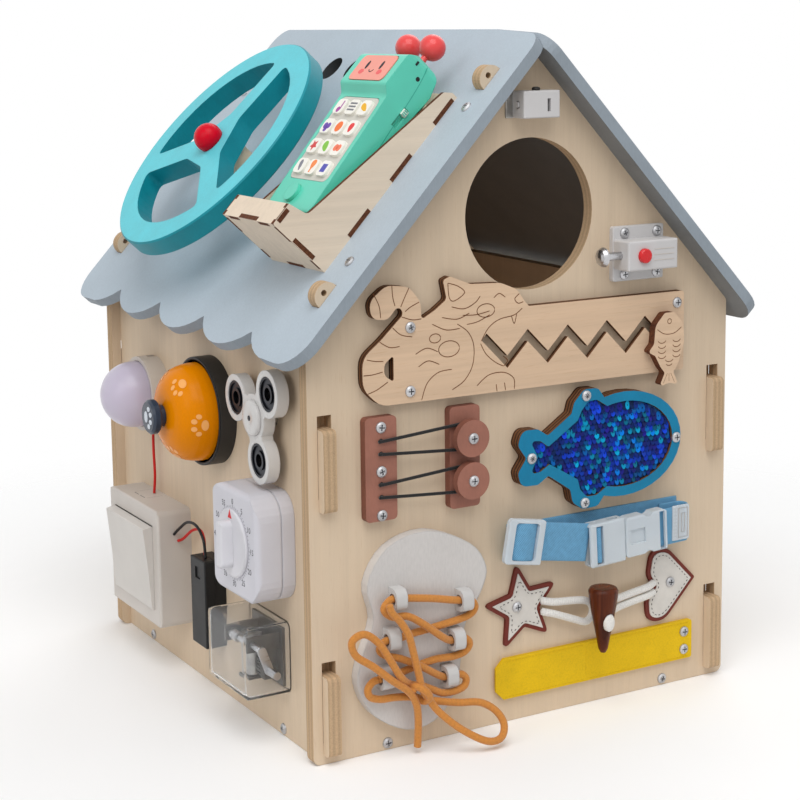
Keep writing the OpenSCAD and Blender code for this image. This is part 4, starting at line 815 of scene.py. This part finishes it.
def ribbon(name, line, width, thick, body="house", node=None, split=8):
    """Webbing along a line of points and ways across: UV u is its length, v the place across, in metres."""
    path, across = zip(*line)
    run, n = runs(path), len(path)
    flat = [-0.47 + 0.94 * k / split for k in range(split + 1)]
    prof = [(-0.5, -0.3)] + [(x, -0.5) for x in flat] + [(0.5, -0.3), (0.5, 0.3)]
    prof += [(-x, 0.5) for x in flat] + [(-0.5, 0.3)]
    m = len(prof)
    verts, uvs = [], []
    for p, t, a in zip(path, ways(path), across):
        a = (a - t * a.dot(t)).normalized()
        verts += [p + a * x * width + t.cross(a) * y * thick for x, y in prof]
    for u0, u1 in zip(run, run[1:]):
        for k in range(m):
            v0, v1 = prof[k][0] * width, prof[(k + 1) % m][0] * width
            uvs.append(((u0, v0), (u0, v1), (u1, v1), (u1, v0)))
    faces = bands(n, m) + [tuple(reversed(range(m))), tuple(range((n - 1) * m, n * m))]
    uvs.append([(0, x * width) for x, _ in reversed(prof)])
    uvs.append([(run[-1], x * width) for x, _ in prof])
    return add_mesh(name, verts, faces, "strap_blue", body, node, uvs=uvs)


def strokes(name, face, lines, width, w, mat, body="house", depth=0.12):
    """Lines drawn on a face, each a chain of points, narrower at its ends."""
    verts, faces = [], []
    for line in lines:
        p = [Vector(q[:2]) for q in line]
        first, last = len(verts), len(p) - 1
        for i, (q, t) in enumerate(zip(p, ways(p))):
            side = Vector((-t.y, t.x)) * width / 2 * (0.45 if i in (0, last) else 1)
            for k, h in ((-1, 0), (1, 0), (1, depth), (-1, depth)):
                verts.append(face.at(q.x + k * side.x, q.y + k * side.y, w + h))
        faces += bands(last + 1, 4, first, True)
        end = len(verts) - 4
        faces += [tuple(range(first, first + 4)), tuple(range(end + 3, end - 1, -1))]
    return add_mesh(name, verts, faces, mat, body, smooth=False)


def lathe(name, face, profile, mat, body="house", n=40):
    """Turned piece: profile of radius and height, about the face's normal at its origin."""
    verts = [face.at(*q, w) for r, w in profile for q in circle(r, n)]
    ends = [tuple(reversed(range(n))), tuple(range(len(verts) - n, len(verts)))]
    return add_mesh(name, verts, bands(len(profile), n) + ends, mat, body)


def curve2(pts):
    return [q.to_2d() for q in spline([(x, y, 0) for x, y in pts], 8)]


def ring2(x, y, r, n=24, a0=0.0, a1=360.0, ry=None):
    return [Vector((x, y)) + polar(r, a0 + (a1 - a0) * k / n, ry) for k in range(n + 1)]


def rect(u0, u1, v0, v1):
    return [Vector((u0, v0)), Vector((u1, v0)), Vector((u1, v1)), Vector((u0, v1))]


def leaf(a, b, turn, x=0.0):
    """Oval with one end blunter than the other."""
    c, s = polar(1, turn)
    out = []
    for k in range(24):
        t = 2 * math.pi * k / 24
        p, q = a * math.cos(t), b * math.sin(t) * (1 - 0.35 * math.cos(t))
        out.append(Vector((x + p * c - q * s, p * s + q * c)))
    return out


def starlet(r, inner, turn):
    return [polar(inner if i % 2 else r, turn + 36 * i) for i in range(10)]


# Webbing strap with its buckle
WEB_W, WEB_T = 25 * MM, 1.5 * MM
BACK_X, BACK_Z, BACK_W = 118, 119.5, 0.8
BEND_X, BEND_Z, BEND_OUT, BEND_RISE, STRAP_RUN = -15, 124, 6.2, 6.0, 52
TURN_X, TURN_Z, TAIL_X, TAIL_Z, TAIL_W, TAIL_R = 105, 116.1, 115.2, 116.5, 8.2, 5
STRAP, BUCKLE = FRONT.turned(BEND_X, BEND_Z, -10), FRONT.turned(36, 112.5, 3)
line = [(FRONT.at(BACK_X + (BEND_X - BACK_X) * f, BACK_Z, BACK_W), FRONT.v) for f in parts(44)]
for f in parts(16, 1):
    q = polar(BEND_OUT, -90 - 180 * f, BEND_RISE)
    at = FRONT.at(BEND_X + q.x, BACK_Z + (BEND_Z - BACK_Z) * f, BACK_W + BEND_RISE + q.y)
    line.append((at, FRONT.v.lerp(STRAP.v, f)))
line += [(STRAP.at(STRAP_RUN * f, 0, BACK_W + 2 * BEND_RISE), STRAP.v) for f in parts(30, 1)]
ribbon("strap_webbing", line, WEB_W, WEB_T, node="strap_band")
line = [(BUCKLE.at(57 + 12 * f, 0, TAIL_W + TAIL_R), BUCKLE.v) for f in parts(15)]
for f in parts(8, 1):
    at = FRONT.at(TURN_X + (TAIL_X - TURN_X) * f, TURN_Z + (TAIL_Z - TURN_Z) * f, TAIL_W + TAIL_R)
    line.append((at, BUCKLE.v.lerp(FRONT.v, f)))
for q in (polar(TAIL_R, 90 - 180 * f) for f in parts(14, 1)):
    line.append((FRONT.at(TAIL_X + q.x, TAIL_Z, TAIL_W + q.y), FRONT.v))
line += [(FRONT.at(TAIL_X - 13 * f, TAIL_Z, TAIL_W - TAIL_R), FRONT.v) for f in parts(8, 1)]
ribbon("strap_tail_webbing", line, WEB_W, WEB_T, "buckle", "strap_tail")
for name, face, u0, u1, low, top in (
    ("strap_over_adjuster", STRAP, -8.9, 8.9, 13.4, 17.3),
    ("strap_over_socket", BUCKLE, 4.7, 9.8, 12.9, 16.4),
):
    line = []
    for f in parts(24):
        w = low + (top - low) * math.sin(math.pi * f) ** 0.5
        line.append((face.at(u0 + (u1 - u0) * f, 0, w), face.v))
    ribbon(name, line, 24.2 * MM, 1.2 * MM)

# Toggle patches: brown rim, white face and a row of stitches
STAR = [(-8 + q.x, 76 + q.y, 1.5 if i % 2 else 2.5) for i, q in enumerate(starlet(30, 13.8, 98))]
HEART = [(134, 73, 1.5), (110, 97.5, 14), (96, 97, 13), (93, 80, 10), (98.5, 72, 1), (92, 64, 10),
         (93, 48, 13), (108, 46, 14)]
RIM_IN, SEAM_IN = 2.6, 4.4
for name, pts in (("star_patch", STAR), ("heart_patch", HEART)):
    blobs(name + "_rim", FRONT, [rounded(pts)], 0.0, 2.2, "brown_rim", node="toggle_patches")
    white = rounded(inset_corners(pts, RIM_IN))
    plate(name + "_face", FRONT, white, 1.2, 2.95, "white_leather", node="toggle_patches")
    seam = rounded(inset_corners(pts, SEAM_IN))
    dots, _ = resample([q.to_3d() for q in seam + [seam[0]]], 3.2)
    stitches = [[a.lerp(b, 0.3), a.lerp(b, 0.7)] for a, b in zip(dots, dots[1:])]
    strokes(name + "_stitches", FRONT, stitches, 0.8, 2.9, "thread_dark", depth=0.3)

# Hook-and-loop strap
HOOK_Z0, HOOK_Z1, HOOK_END, FOLD = 16.5, 43.5, 131, 42.0


def tape_outline(x0, x1, cut, r):
    return rounded([(x0 + cut, HOOK_Z0, 0.5), (x1, HOOK_Z0, r), (x1, HOOK_Z1, r), (x0 + cut, HOOK_Z1, 0.5),
                    (x0, HOOK_Z1 - cut, 0.5), (x0, HOOK_Z0 + cut, 0.5)])


for part, outline, w0, w1, body, mat in (
    ("lower", tape_outline(-28, HOOK_END, 6, 2), 0.0, 1.6, "house", "loop_yellow"),
    ("upper", tape_outline(FOLD + 0.1, HOOK_END, 0.1, 2), 1.6, 3.4, "house", "hook_yellow"),
    ("flap", tape_outline(-29, FOLD, 6, 0), 1.95, 3.45, "flap", "hook_yellow"),
):
    node = "hook_strap_flap" if body == "flap" else "hook_strap_base"
    plate("hook_tape_" + part, FRONT, outline, w0, w1, mat, body, node, 0.12)
for name, x0, x1, w, body in (
    ("hook_flap_seam", -22.0, 40.0, 3.35, "flap"),
    ("hook_strap_seam", 45.0, 127.0, 3.3, "house"),
):
    seams = [[(x, z), (x + 1.7, z)] for z in (HOOK_Z0 + 1.6, HOOK_Z1 - 1.6) for x in np.arange(x0, x1, 2.6)]
    strokes(name, FRONT, seams, 0.5, w, "seam_thread", body, 0.3)

# Sequin cloth in the fish frame
WINDOW_AT = Vector((50, 176))
window = [tuple(Vector((68, 176)) + polar(40, a, 28.5)) for a in range(-110, 111, 10)]
window += [(46, 208, 4), (39, 207.5, 4), (34, 202, 3), (31, 196, 2), (8, 181.5, 2), (2, 186, 3), (-6, 187, 3),
           (0, 176, 2), (-6, 165, 3), (2, 166, 3), (9, 170, 2), (31, 157, 2), (33, 150, 3), (38, 144.5, 4),
           (46, 144.5, 4)]
window = rounded(window)
cloth_line = [WINDOW_AT + (q - WINDOW_AT) * 0.99 for q in window]
cloth = plate("sequin_ground", FRONT, cloth_line, 6.05, 6.9, "cloth_navy", node="sequin_cloth",
              bevel=0.2)
TINTS = [(10, 20, 110), (20, 60, 200), (0, 110, 200), (30, 0, 120), (0, 150, 190), (10, 40, 160)]
SEQUIN_RINGS = ((0.45, -0.02), (1.9, 0.12), (2.35, 0.06))
SEQUIN_SIDES, SEQUIN_WIDE, SEQUIN_TALL, SEQUIN_W = 12, 0.85, 1.3, 7.62
STEP_U, STEP_V = 3.4, 3.3
rim = inset(window, 1.6)
verts, faces, tints = [], [], []
for row, v in enumerate(np.arange(145.0, 209.0, STEP_V)):
    for u in np.arange(-8.0 + STEP_U / 2 * (row % 2), 110.0, STEP_U):
        x, y = u + random.uniform(-0.35, 0.35), v + random.uniform(-0.3, 0.3)
        if not inside(rim, x, y):
            continue
        c = random.choice(TINTS)
        spin, tip = random.uniform(0, 6.28), math.radians(random.uniform(6, 20))
        tip2 = math.radians(random.uniform(-10, 10))
        c = lin(shade(c, random.uniform(0.5, 1.25)))
        quads = bands(len(SEQUIN_RINGS), SEQUIN_SIDES, len(verts), True)
        for r, rise in SEQUIN_RINGS:
            for k in range(SEQUIN_SIDES):
                p, q = polar(SEQUIN_WIDE * r, math.degrees(spin) + 360 * k / SEQUIN_SIDES, SEQUIN_TALL * r)
                w = SEQUIN_W + rise - q * math.sin(tip) + p * math.sin(tip2)
                verts.append(FRONT.at(x + p, y + q, w))
        faces += quads
        tints += [c] * 4 * len(quads)
o = add_mesh("sequins", verts, faces, "sequin")
layer = o.data.color_attributes.new("tint", "FLOAT_COLOR", "CORNER")
layer.data.foreach_set("color", np.array(tints, np.float32).ravel())

# Phone holder: burnt finger joints on its cheeks, end and lid
CHEEK, CHEEK2 = Face(ROOF.mm(0, 140), ROOF.w, ROOF.u), Face(ROOF.mm(0, 68), ROOF.u, ROOF.w)
END = Face(ROOF.mm(189, 0), ROOF.v, ROOF.w)
NEAR, FAR, LOW = (68.1, 71), (137, 139.9), (7.7, 10.6)
TABS = [(LOW, (52, 72)), (LOW, (97, 118)), (LOW, (141, 162)), ((19, 37), (185.6, 188.6)),
        ((50.6, 53.6), (176, 185.6))]
END_TABS = [((93, 115), LOW), ((76, 90), (51, 53.6)), ((118, 132), (51, 53.6))]
END_TABS += [(side, run) for run in ((10.7, 19), (37, 51)) for side in (NEAR, FAR)]
LID_TABS = [((185.8, 188.9), (92, 117))]
LID_TABS += [(run, side) for side in (NEAR, FAR) for run in ((173.2, 176.4), (185.4, 188.9))]
for part, face, tabs, w in (
    ("front", CHEEK, TABS, 0), ("back", CHEEK2, [(b, a) for a, b in TABS], 0), ("end", END, END_TABS, 0),
    ("lid", ROOF, LID_TABS, 54),
):
    tabs = [rect(*a, *b) for a, b in tabs]
    blobs("holder_fingers_" + part, face, tabs, w - 0.3, w + 0.12, "burnt_edge")

# Phone: seam line and sound hole in painted shade, switch ridges, plain face and key pictures
SIDE = Face(ROOF.mm(0, 133.5), ROOF.w, ROOF.u)
SCREEN_W = 49.4
seam = curve2([(33, 47), (30, 62), (26.5, 100), (23.5, 140), (22.3, 160)])
strokes("phone_seam", SIDE, [seam], 0.5, -0.2, "mint_shadow", "phone", 0.26)
# A dark disc and slot in the sound hole: painted shade.
blobs("phone_sound_hole_shade", SIDE, [ring2(33.5, 57, 1.5, 16), rect(39.5, 41, 48.5, 51.5)], -0.2, 0.06,
      "black_plastic", "phone")
ridges = [rect(25.6, 28.4, d, d + 0.7) for d in (77.3, 78.65, 80.0)]
blobs("phone_switch_ridges", SIDE, ridges, 1.0, 1.5, "mint_plastic", "side_switch")
for part, u, spots, r, ry, high, mat in (
    ("eyes", 60, (95, 113), 3.4, 1.5, 0.2, "print_dark"),
    ("cheeks", 65.5, (92.5, 115.5), 2.0, 3.0, 0.18, "antenna_coral"),
):
    rings = [ring2(u, v, r, 20, ry=ry) for v in spots]
    blobs("phone_face_" + part, ROOF, rings, SCREEN_W, SCREEN_W + high, mat, "phone")
smile = curve2([(63.6, 101), (65.2, 102.6), (65.6, 104), (65.2, 105.4), (63.6, 107)])
strokes("phone_face_smile", ROOF, [smile], 0.6, SCREEN_W, "print_dark", "phone", 0.2)
KEY_TOP, KEY_PITCH, ART_SCALE = 2.0, (15.4, 15.6), 1.35
KEY_ART = [  # colour and outlines about the middle of each key, three to a row
    ((170, 80, 160), [rect(-3, 2, 1, 1.9), ring2(2, 0, 1.6, 14)]),
    ((120, 120, 126), [rect(-2.4 + 1.8 * k, -1.5 + 1.8 * k, -3.2, 3.2) for k in range(3)]),
    ((236, 178, 40), [leaf(3.6, 1.5, 60)]),
    ((110, 74, 170), [ring2(0, -1.5, 1.7, 14), ring2(0, 1.6, 1.7, 14), ring2(2, 0, 1.5, 14)]),
    ((240, 120, 60), [ring2(0, 0, 2.9, 20)]),
    ((222, 60, 60), [leaf(2.6, 2.0, 0)]),
    ((214, 70, 70), [starlet(3.2, 1.6, 0)]),
    ((130, 190, 70), [leaf(3.4, 2.0, 40)]),
    ((238, 126, 96), [ring2(0, -1.4, 1.9, 16), ring2(0, 1.4, 1.9, 16)]),
    ((130, 130, 140), [leaf(3.2, 1.3, 20)]),
    ((240, 140, 80), [leaf(2.6, 2.0, 0, -1.2), rect(1.2, 3.2, -0.6, 0.6)]),
    ((80, 80, 170), [rect(-2.2, 2.2, -2.2, 2.2)]),
]
for i, (c, art) in enumerate(KEY_ART):
    row, col = divmod(i, 3)
    key = KEYS.turned(KEY_PITCH[0] * (row - 1.5), KEY_PITCH[1] * (col - 1))
    tag = "%d%d" % (row, col)
    art = [[q * ART_SCALE for q in line] for line in art]
    plastic("key_print_" + tag, c, 0.5, 0.05)
    blobs("key_picture_" + tag, key, art, KEY_TOP - 0.1, KEY_TOP + 0.1, "key_print_" + tag,
          "keypad")

# Bell: pale paw prints on the dome, a paw on its button and a rim
BELL, BELL_W = LEFT.turned(12, 196.5), 7.5
DOME_R, DOME_H, DOME_POWER = 33, 30, 0.66
PAW_SIZE, PAW_SIDES = 1.05, 16
TOES = [(6.2 * math.cos(a) - 0.6, 6.2 * math.sin(a), 1.9, 1.6) for a in map(math.radians, (-62, -22, 22, 62))]
PAW = [tuple(PAW_SIZE * k for k in q) for q in [(-1.8, 0, 2.6, 3.6)] + TOES]  # middle and half axes


def on_dome(rise, phi, du, dv):
    """Point of the dome by a height angle and a turn, moved du up the dome and dv round it."""
    a, out = math.radians(rise), polar(1, phi).to_3d()
    slope = Vector((-out.x * DOME_H, -out.y * DOME_H, DOME_R)).normalized()
    q = out * DOME_R * math.cos(a) ** DOME_POWER + Vector((0, 0, DOME_H * math.sin(a) ** DOME_POWER))
    q += slope * du + Vector((-out.y, out.x, 0)) * dv
    k = (math.hypot(q.x, q.y) / DOME_R) ** (2 / DOME_POWER) + (max(q.z, 0) / DOME_H) ** (2 / DOME_POWER)
    q *= 1.005 * k ** (-DOME_POWER / 2)
    return BELL.at(q.x, q.y, BELL_W + q.z)


verts, faces = [], []
for rise, phi in ((42, 55), (44, -80), (40, 178), (36, 118), (36, -132), (20, -5)):
    for mu, mv, ru, rv in PAW:
        b = len(verts)
        verts.append(on_dome(rise, phi, mu, mv))
        verts += [on_dome(rise, phi, mu + q.x, mv + q.y) for q in circle(ru, PAW_SIDES, rv)]
        faces += [(b, b + 1 + (k + 1) % PAW_SIDES, b + 1 + k) for k in range(PAW_SIDES)]
add_mesh("bell_paw_prints", verts, faces, "paw_print")
pads = [ring2(u, v, ru, 20, ry=rv) for u, v, ru, rv in PAW]
blobs("bell_button_paw", BELL, pads, 47.2, 48.12, "pale_print", "bell_push")
lathe("bell_rim", BELL, [(34.6, 11.4), (34.7, 12.1), (35.2, 12.45), (35.9, 12.4), (36.4, 12.0), (36.4, 11.4)],
      "black_plastic", n=96)

# Spinner cap
SPINNER = LEFT.turned(103, 209)
profile = [(10.5, 13.6), (11.5, 14.2), (11.5, 15.6), (10.8, 16.6), (9.6, 17.0), (3.0, 17.2), (2.4, 16.9),
           (1.6, 16.85), (0.8, 17.0)]
lathe("spinner_cap", SPINNER, profile, "spinner_white", "spinner", 56)
profile = [(1.7, 16.8), (1.7, 17.12), (1.1, 17.22)]
lathe("spinner_cap_dot", SPINNER, profile, "ring_dark", "spinner", 20)

# Switch: knock-out lines on its top
SWITCH_TOP = Face(LEFT.mm(-78, 118), (0, -1, 0), (1, 0, 0))
lines = [[(x0, -16.5), (x1, -16.5)] for x0, x1 in ((-17, -9.5), (-6.5, 1.5))]
strokes("switch_knockout", SWITCH_TOP, lines, 1.0, -0.2, "print_dark", depth=0.25)
lines = [[(x, -15.5), (x, -3.5)] for x in (-18.5, 3.2)]
strokes("switch_knockout_sides", SWITCH_TOP, lines, 0.5, -0.2, "soft_line", depth=0.25)

# Timer: scale, numerals and the red pointer
TIMER = LEFT.turned(97, 129)
ticks = [[polar(22.7, 90 - 6 * k), polar(23.9 if k % 5 else 24.8, 90 - 6 * k)] for k in range(60)]
strokes("timer_ticks", TIMER, ticks, 0.5, 26.9, "print_dark", depth=0.15)
verts, faces = [], []
for k in range(12):
    cu = bpy.data.curves.new("glyph", "FONT")
    cu.body, cu.size, cu.resolution_u = str(5 * k), 5.2, 3
    cu.align_x, cu.align_y = "CENTER", "CENTER"
    ob = bpy.data.objects.new("glyph", cu)
    scene.collection.objects.link(ob)
    me = bpy.data.meshes.new_from_object(ob)
    b, at = len(verts), polar(26.6, 90 - 30 * k)
    verts += [TIMER.at(at.x + q.co.x, at.y + q.co.y, 27.06) for q in me.vertices]
    faces += [tuple(b + i for i in p.vertices) for p in me.polygons]
    bpy.data.objects.remove(ob)
    bpy.data.curves.remove(cu)
    bpy.data.meshes.remove(me)
add_mesh("timer_numerals", verts, faces, "print_dark", smooth=False)
pointer = [(-2.8, 16.4), (2.8, 16.4), (0, 21.9)]
blobs("timer_pointer", TIMER, [pointer], 29.0, 29.2, "print_red", "dial")

# Painted shade in the screws' cross recesses, by the height of their heads
CROSSES = {1.66: [(-108, 4.5), (108, 4.5)], 4.66: [(-12.5, 77), (112, 73)], 5.16: [(124, 23.5), (124, 36)],
           5.66: [(x, z) for x in (71.1, 97.1) for z in (287.3, 314.3)],
           7.66: [(-113, 153.5), (-113, 181), (-113, 208.5), (-92, 228.5), (-91.5, 268), (113, 265.5)],
           10.66: [(-5, 175.5), (36.5, 140.5), (111, 175), (37.5, 211.5)], 17.66: [(-53, 169), (-53, 196)]}
for w, spots in CROSSES.items():
    lines = []
    for at in map(Vector, spots):
        for arm in (polar(1.9, math.degrees(at.x + at.y) + turn) for turn in (0, 90)):
            lines.append([at - arm, at + arm])
    strokes("screw_recess_shade_%d" % round(w), FRONT, lines, 0.8, w - 0.12, "print_dark", depth=0.14)

# Latch: raised lines; top catch: metal back plate, knob and painted shade in its slot
strokes("latch_lines", FRONT, [[(83, z), (99, z)] for z in (304.6, 297.4, 301)], 0.6, 19.9, "socket_white",
        depth=0.35)
outline = rounded([(-18.5, 391.5, 1), (-11, 391.5, 1), (-11, 408.5, 1), (-18.5, 408.5, 1)])
plate("catch_back_plate", FRONT, outline, 0, 1.2, "mech_steel")
CATCH_TOP = Face((0, -HALF_D - 7, 408.4), (1, 0, 0), (0, 1, 0))
profile = [(2.6, 0), (2.6, 1.2), (2.2, 2.0), (1.0, 2.3)]
lathe("catch_knob", CATCH_TOP, profile, "dark_plastic", n=24)
# A dark sheet in the catch's slot: painted shade.
blobs("catch_slot_shade", FRONT, [rect(4.1, 6.3, 395.6, 403.4)], 11.0, 11.3, "black_plastic")

# Engraved lines of the cat board and the fish
CAT_W, FISH, FISH_W = 5.93, FRONT.turned(102.1, 239.5), 12.23
CAT_LINES = [
    [(-117, 291), (-113, 283), (-112, 275.5)], [(-104, 295), (-103.5, 288), (-102, 282)],
    [(-92, 292.5), (-95.5, 286), (-98, 281)], [(-85, 283), (-91, 280.5), (-95, 278)],
    [(-83.5, 272.5), (-90, 272.5), (-97.5, 275)], [(-104, 269), (-98, 264), (-90, 262)],
    [(-113, 261), (-106, 257), (-99, 257)], [(-122, 251), (-116, 249.5), (-110.5, 249)],
    [(-124.5, 241.5), (-118, 241.5), (-111, 242.5)], [(-121.5, 230), (-115, 232), (-107.5, 236)],
    [(-64.5, 293), (-57, 290.3), (-52.5, 286), (-60, 281.5), (-63.6, 284), (-64.5, 293)],
    [(-31, 281), (-27, 283.4), (-22.5, 280.6)], [(-12, 282), (-15.4, 279), (-13, 276), (-9, 276.6)],
    [(-9.8, 272.6), (-16, 268.8), (-27, 267), (-35, 262.4), (-40.5, 254.5)],
    [(-18, 268.4), (-15.9, 263.4), (-14, 269.4)], [(-41, 253), (-37, 246), (-30, 240), (-24, 237)],
    [(-24, 237), (-21, 240.2), (-24.5, 243.6)], [(-62, 278), (-53, 276), (-45, 279), (-41, 283)],
    [(-69, 272), (-58, 270), (-49, 273)], [(-76, 268.5), (-66, 264), (-56, 264)],
    [(-62, 226), (-53, 231), (-47, 240), (-46, 252), (-50, 261), (-58, 267)],
    [(-44, 226.5), (-35, 232.5), (-24, 233), (-16.5, 228.5), (-16, 221.5)], [(-29, 221.4), (-29.6, 226)],
    [(-22.6, 221.4), (-23.4, 226.4)], [(-84, 222), (-80, 232), (-72, 238), (-62, 239)],
    [(-88, 251), (-80, 254), (-72, 251)], [(-86, 243), (-79, 246), (-71, 243)],
    [(-34, 273), (-44, 271.5), (-54, 272)], [(-34, 270.6), (-43, 267), (-51, 266)],
]
lines = [curve2(q) for q in CAT_LINES]
spots = ((-37, 273.5, 6.5, 4.2, 28), (-64, 252, 7.5, 5.0, 28), (-74, 259.5, 4, 2.8, 24))
lines += [ring2(x, z, r, n, ry=ry) for x, z, r, ry, n in spots]
strokes("cat_lines", FRONT, lines, 0.55, CAT_W, "engraved_line")
lines = [ring2(0, 15.2, 1.6, 20), curve2([(-10, 10.5), (-5, 7.4), (0, 6.6), (5, 7.4), (10, 10.5)])]
scales = [(u, v, 3.4, 2.6) for v in (3.6, 0.2, -3.2, -6.6) for u in (-6.0, 6.0)]
scales += [(0, -9.6, 3.4, 2.2), (0, -12.6, 2.6, 1.8)]
lines += [ring2(u, v, r, 10, 200, 340, ry) for u, v, r, ry in scales]
lines += [[(-4.6, -26), (-1.4, -19.5)], [(0, -25), (0, -19.5)], [(4.6, -26), (1.4, -19.5)]]
strokes("fish_lines", FISH, lines, 0.5, FISH_W, "engraved_line", "fish")

# Toggle: cord end seen in the horn's eye
plate("horn_cord_end", FRONT, ring2(44.5, 62.8, 3.9, 32, ry=6.1), 20, 27.5, "cord_white",
      "toggle", bevel=1.5, smooth=True)

# Strap: moulded end clip with its ribs and seam, over the tail
CLIP_TOP = 14.6
outline = rounded([(104.5, 105.5, 0.8), (118.6, 105.5, 1.5), (118.6, 129.5, 1.5), (104.5, 129.5, 0.8)])
plate("strap_end_clip", FRONT, outline, 13.95, CLIP_TOP + 0.1, "milky_clear", "buckle",
      bevel=0.2)
ribs = [r + r[:1] for r in (rect(109.5, 117, 107.5, 127.5), rect(112, 114.5, 111, 124))]
strokes("strap_clip_ribs", FRONT, ribs, 0.7, CLIP_TOP, "lug_white", "buckle", 0.35)
seams = [[(x, z), (x, z + 1.5)] for x in (105.7, 107.4) for z in np.arange(106.5, 128.0, 2.4)]
strokes("strap_clip_seam", FRONT, seams, 0.5, CLIP_TOP, "pale_print", "buckle", 0.25)


# Stage and light
def lamp(name, kind, at, power, to=(0, 0, 0.2), **settings):
    d = bpy.data.lights.new(name, kind)
    d.energy = power
    for k, v in settings.items():
        setattr(d, k, v)
    o = bpy.data.objects.new(name, d)
    o.location = at
    o.rotation_mode = "QUATERNION"
    o.rotation_quaternion = (Vector(to) - Vector(at)).to_track_quat("-Z", "Y")
    scene.collection.objects.link(o)
    return o


lamp("key", "AREA", (-0.7, -1.5, 2.7), 51, size=2.2)
lamp("side", "AREA", (-2.6, -0.9, 1.7), 15, size=1.8)
lamp("rim", "AREA", (1.8, 1.4, 2.2), 16, size=2.0)
room = lamp("room", "POINT", (-0.03, -0.08, 0.16), 0.1, shadow_soft_size=0.04, color=(1, 0.85, 0.75))
room.visible_camera = False
world = bpy.data.worlds.new("world")
world.use_nodes = True
sky = Nodes(world.node_tree)
background = sky.nt.nodes["Background"].inputs
background["Color"].default_value = (1, 1, 1, 1)
rays = sky.n("LightPath").outputs
seen = sky.math("MAXIMUM", rays["Is Camera Ray"], rays["Is Glossy Ray"])
seen = sky.math("MAXIMUM", seen, rays["Is Transmission Ray"])
sky.put(background["Strength"], sky.span(seen, 0.5, 1.0))
scene.world = world
scene.view_settings.view_transform = "Standard"

FLOOR_R, FLOOR_SIDES = 1.0, 72
mat = Mat("floor", 0.9)
mat.color(mat.ramp(mat.noise(3, 2), [(0.3, (250, 250, 250)), (0.7, (254, 254, 254))]))
reach = mat.n("VectorMath", operation="LENGTH")
mat.put(reach.inputs[0], mat.coord["Object"])
fade = mat.n("MapRange", Value=reach.outputs["Value"], From_Min=0.35, From_Max=0.7, To_Min=1.0, To_Max=0.0)
mat.put(mat.b["Alpha"], fade.outputs["Result"])
me = bpy.data.meshes.new("floor")
rim = [(q.x, q.y, 0) for q in circle(FLOOR_R, FLOOR_SIDES)]
me.from_pydata([(0, 0, 0)] + rim, [], [(0, 1 + k, 1 + (k + 1) % FLOOR_SIDES) for k in range(FLOOR_SIDES)])
me.materials.append(MATS["floor"])
floor = bpy.data.objects.new("floor", me)
floor.location.z = -0.0002
scene.collection.objects.link(floor)
